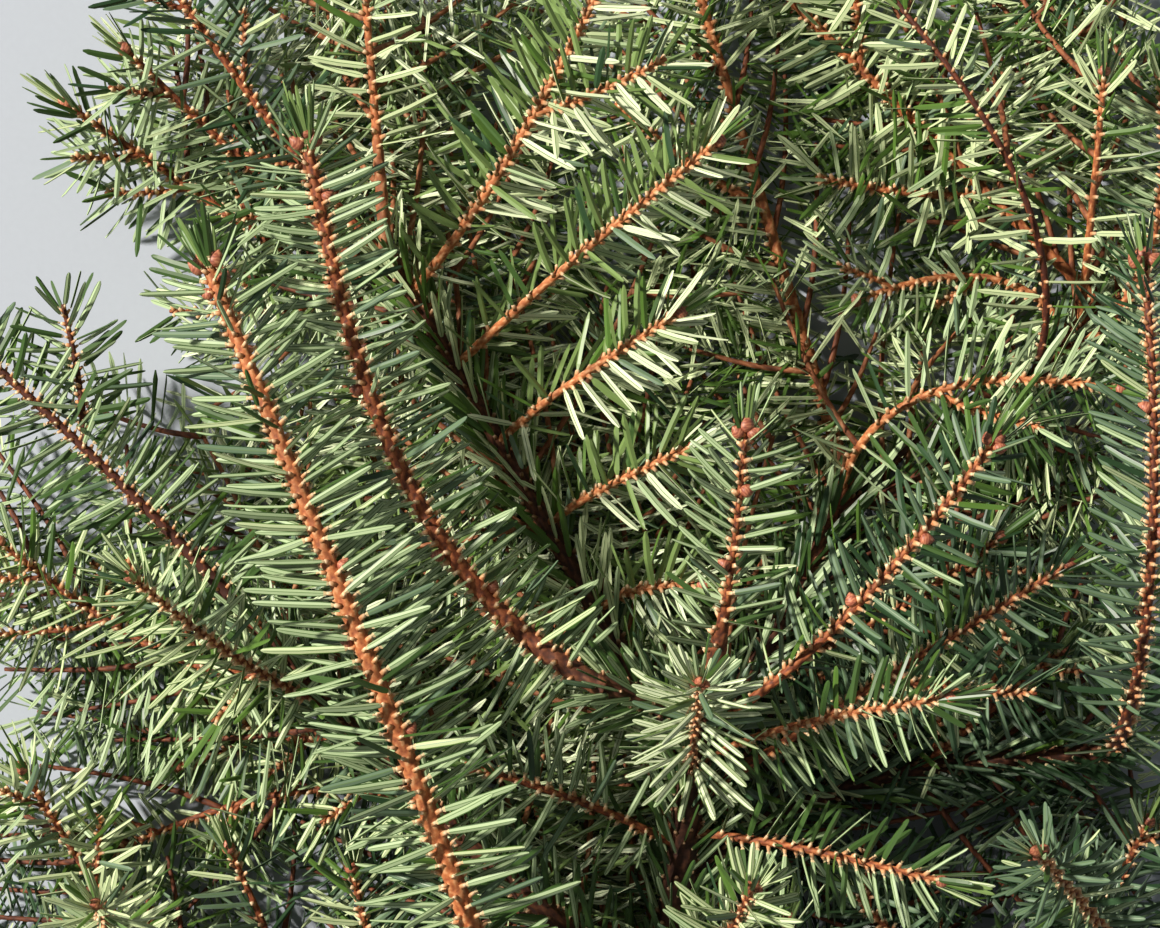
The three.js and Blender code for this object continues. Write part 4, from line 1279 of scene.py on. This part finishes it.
def needlePiece(name, parts, pattern, nodes):
    found = joined(parts)
    holder = pointsObject(
        name + "Points", found["root"], heading=found["heading"], facing=found["facing"],
        forward=found["forward"], roll=np.radians(found["roll"]), reach=found["reach"] * mm,
        size=found["width"], tint=found["tint"].astype(int))
    piece = grown(name, holder, needleTree, {
        "Needle": pattern, "Seed": curls["seed"], "Curl": curls["most"] * mm,
        "Least Width": curls["leastWidth"], "Most Width": curls["mostWidth"]})
    dress(piece, nodes, False)


for region, nodes in regionNodes.items():
    pattern = backPattern if region in plainerRegions else needlePattern
    needlePiece(region + "Needles", needleParts[region] + crownParts[region], pattern, nodes)
    needlePiece(region + "LowNeedles", lowParts[region], lowPattern, nodes)
print("needles made")

for region, found in twigPegs.items():
    holder = joinTubes(region + "Tubes", tubeParts[region], [spruceBark])
    scatteredPiece(region + "Twigs", holder, pegPattern, pegSizes, spruceBark, "young_bark",
                   regionNodes[region], found["base"], heading=found["pegHeading"], forward=found["forward"],
                   size=needles["pegLength"] * found["peg"])
print("twigs made")

# buds at the ends of the shoots, a leading one with two beside it on the strong shoots
buds = {
    "lean": 0.1,                 # of the end bud, towards the underside
    "sunk": 0.5,
    "sideShare": 0.85,           # of the length of the bud at the end
    "sideAt": (0.22, 0.2),       # of that length, back from the tip and out to each side
    "sideRise": 0.6,
    "splay": 48,
    "smallLength": 3.0,
    "smallSunk": 0.4,
    "smallLean": (0.85, 0.55),   # outwards and along
    "forward": (0.3, 0.2, 0.9),
    "crowned": ("shoot_front_left", "shoot_front_middle", "shoot_leaning", "shoot_right_edge",
                "shoot_corner_star", "shoot_upright", "shoot_star_middle", "shoot_star_foot"),
    # where small buds stand on the side of a shoot: share of its length, turn round it
    "small": {"shoot_front_left": [(0.353, 95), (0.484, -100), (0.574, 80), (0.955, -80), (0.965, 75)],
              "shoot_front_middle": [(0.216, 75), (0.308, -80), (0.594, -85), (0.9, 80)],
              "shoot_leaning": [(0.5, -85), (0.72, 85)], "shoot_upright": [(0.55, -90), (0.8, 85)],
              "shoot_right_edge": [(0.55, 85), (0.75, -85)]},
    "seed": 3,
    "leastWidth": 0.9,
    "mostWidth": 1.08,
}


# foot, direction and length of each bud of a shoot
def budsOf(mass):
    line = mass["lines"][0]
    size = lookOf(mass["name"])["bud"]
    t = 1 - buds["sunk"] / line["plan"]["length"]
    along, side, under = (v[0] for v in frameAt(line, np.array([t])))
    tip = pointAt(line, t)
    rows = [(tip, along + buds["lean"] * under, size)]
    back, out = buds["sideAt"]
    splay = math.radians(buds["splay"])
    for hand in (1, -1) if mass["name"] in buds["crowned"] else ():
        turn = along * math.cos(splay) + (side * hand + buds["sideRise"] * under) * math.sin(splay)
        rows.append((tip - along * back * size + side * hand * out * size, turn, size * buds["sideShare"]))
    for share, turn in buds["small"].get(mass["name"], ()):
        along, side, under = (v[0] for v in frameAt(line, np.array([share])))
        outward = under * math.cos(math.radians(turn)) + side * math.sin(math.radians(turn))
        foot = pointAt(line, share) + outward * (twigRadius(line, share) - buds["smallSunk"])
        leanOut, leanAlong = buds["smallLean"]
        rows.append((foot, outward * leanOut + along * leanAlong, buds["smallLength"]))
    return rows


for region, nodes in regionNodes.items():
    feet, headings, sizes = zip(*(row for mass in masses if mass["name"] in nodes for row in budsOf(mass)))
    holder = newObject(region + "BudHolder", bpy.data.meshes.new(region + "BudHolder"))
    scatteredPiece(region + "Buds", holder, budPattern, buds, budScales, "young_bark", nodes, np.array(feet),
                   heading=unit(np.array(headings)), forward=np.tile(buds["forward"], (len(feet), 1)),
                   size=np.array(sizes))
print("buds made")

sawn = {"heart": (17.8, -146.1, 4.7), "ringWidth": 0.75, "wobble": 400.0, "roughness": 0.7, "ior": 1.5,
        "season": [(0.45, "#dcbf92"), (0.95, "#a97a4a")]}


# sawn spruce wood: pale and dull, with a darker line for the end of each year's growth
def sawnSurface(tree):
    place = addNode(tree, "ShaderNodeTexCoord").outputs["Object"]
    fromHeart = addNode(tree, "ShaderNodeVectorMath", {
        0: place, 1: tuple(v * mm for v in sawn["heart"])}, operation="SUBTRACT").outputs[0]
    flat = addNode(tree, "ShaderNodeVectorMath", {
        0: fromHeart, 1: (1, 0, 1)}, operation="MULTIPLY").outputs[0]
    away = addNode(tree, "ShaderNodeVectorMath", {0: flat}, operation="LENGTH").outputs["Value"]
    wobble = addNode(tree, "ShaderNodeTexNoise", {"Vector": place, "Scale": sawn["wobble"]}).outputs["Fac"]
    years = addNode(tree, "ShaderNodeMath", {
        0: away, 1: 1 / (sawn["ringWidth"] * mm), 2: wobble}, operation="MULTIPLY_ADD").outputs[0]
    season = addNode(tree, "ShaderNodeMath", {0: years}, operation="FRACT").outputs[0]
    colour = addNode(tree, "ShaderNodeValToRGB", {"Fac": season}, sawn["season"]).outputs["Color"]
    return {"Base Color": colour, "Roughness": sawn["roughness"], "IOR": sawn["ior"]}


sawnWood = newMaterial("sawnWood", sawnSurface)
limbForm = {
    "aspect": 3.2, "depth": 0.75, "cutRoom": 0.3, "pegSize": 0.85, "pegSunk": 0.1, "pegLean": 0.7,
    "pegsShown": 0.5,            # share of the pegs that still stand out
    "firstPeg": 4,
}
for name, limb in limbs.items():
    plan, pegs = limb["plan"], boughPegs[name]
    trunk = name == "main_stem"
    start, cutAt = 0.0, None
    if trunk:
        along = directionAt(plan, 0.0)
        tilt = plan["radius"] * math.sqrt(1 - along[1] ** 2) / along[1]
        start = (growth["sawnAt"] - growth["stemFoot"][1]) / along[1] + tilt + limbForm["cutRoom"]
        cutAt = growth["sawnAt"]
    tube = barkTube(limb, lambda s: limbRadius(limb, s), lambda s: limbAge(limb, s), 0.0, pegs,
                    details["limb"], start, limbForm["aspect"], limbForm["depth"], cutAt)
    holder = joinTubes(name + "Tube", [tube], [spruceBark, sawnWood] if trunk else [spruceBark])
    shown = random.uniform(size=pegs["count"]) < limbForm["pegsShown"]
    shown &= pegs["s"] > start + limbForm["firstPeg"]
    s = pegs["s"][shown]
    along, side, under = frameAt(limb, s / plan["length"])
    out = outwardAt(side, under, np.radians(pegTurn(pegs, np.arange(pegs["count"])))[shown])
    base = pointAt(limb, s / plan["length"]) + out * (limbRadius(limb, s) - limbForm["pegSunk"])[:, None]
    scatteredPiece(name + "Bark", holder, pegPattern, pegSizes, spruceBark,
                   "old_bark" if trunk else "young_bark", [name], base, forward=along, age=limbAge(limb, s),
                   heading=unit(out + limbForm["pegLean"] * along),
                   size=np.full(len(base), limbForm["pegSize"]))
for pattern in (needlePattern, backPattern, lowPattern, pegPattern, budPattern):
    bpy.data.objects.remove(pattern)
print("limbs made")

# a pale floor, a low sun-like key from the upper left of the picture, and a soft fill
stage = {
    "floorSize": 6000, "floor": "#b3bac5", "floorRoughness": 0.8, "floorIor": 1.45, "speckle": 1.5,
    "speckleLevels": (0.97, 1.03),
    "keyFrom": (-0.7, 0.3, 0.65), "keyPower": 6.0, "keySoftness": 4, "key": "#fff8ee",
    "fill": "#dcdfdc", "fillPower": 0.25,
    "cameraAt": (3.3, 21.6, 928.95), "lens": 135, "sensor": 36, "seenTo": 20000,
}


# matt floor paint with a faint speckle
def floorSurface(tree):
    place = addNode(tree, "ShaderNodeTexCoord").outputs["Object"]
    speckle = addNode(tree, "ShaderNodeTexNoise", {
        "Vector": place, "Scale": 1 / (stage["speckle"] * mm), "Detail": 3.0}).outputs["Fac"]
    least, most = stage["speckleLevels"]
    value = addNode(tree, "ShaderNodeMapRange", {
        "Value": speckle, "To Min": least, "To Max": most}).outputs["Result"]
    tint = addNode(tree, "ShaderNodeHueSaturation", {"Color": linear(stage["floor"]), "Value": value})
    return {"Base Color": tint.outputs["Color"], "Roughness": stage["floorRoughness"],
            "IOR": stage["floorIor"]}


half = stage["floorSize"] / 2
corners = [(-half, -half, 0), (half, -half, 0), (half, half, 0), (-half, half, 0)]
floor = newObject("floor", newMesh("floor", corners, [(0, 1, 2, 3)]))
floor.data.materials.append(newMaterial("floorPaint", floorSurface))

scene = bpy.context.scene
scene.view_settings.view_transform = "Standard"  # keeps the colours as they are written here
keyLight = bpy.data.lights.new("key", "SUN")
keyLight.energy = stage["keyPower"]
keyLight.angle = math.radians(stage["keySoftness"])
keyLight.color = linear(stage["key"])[:3]
key = newObject("key", keyLight)
x, y, z = stage["keyFrom"]
key.rotation_euler = (math.atan2(math.hypot(x, y), z), 0, math.atan2(y, x) + math.pi / 2)

world = bpy.data.worlds.new("studio")
world.use_nodes = True
world.node_tree.nodes["Background"].inputs["Color"].default_value = linear(stage["fill"])
world.node_tree.nodes["Background"].inputs["Strength"].default_value = stage["fillPower"]
scene.world = world

lensData = bpy.data.cameras.new("camera")
lensData.lens = stage["lens"]
lensData.sensor_width = stage["sensor"]
lensData.clip_end = stage["seenTo"] * mm
camera = newObject("camera", lensData)
camera.location = [v * mm for v in stage["cameraAt"]]
scene.camera = camera

print("stage, light and camera set")
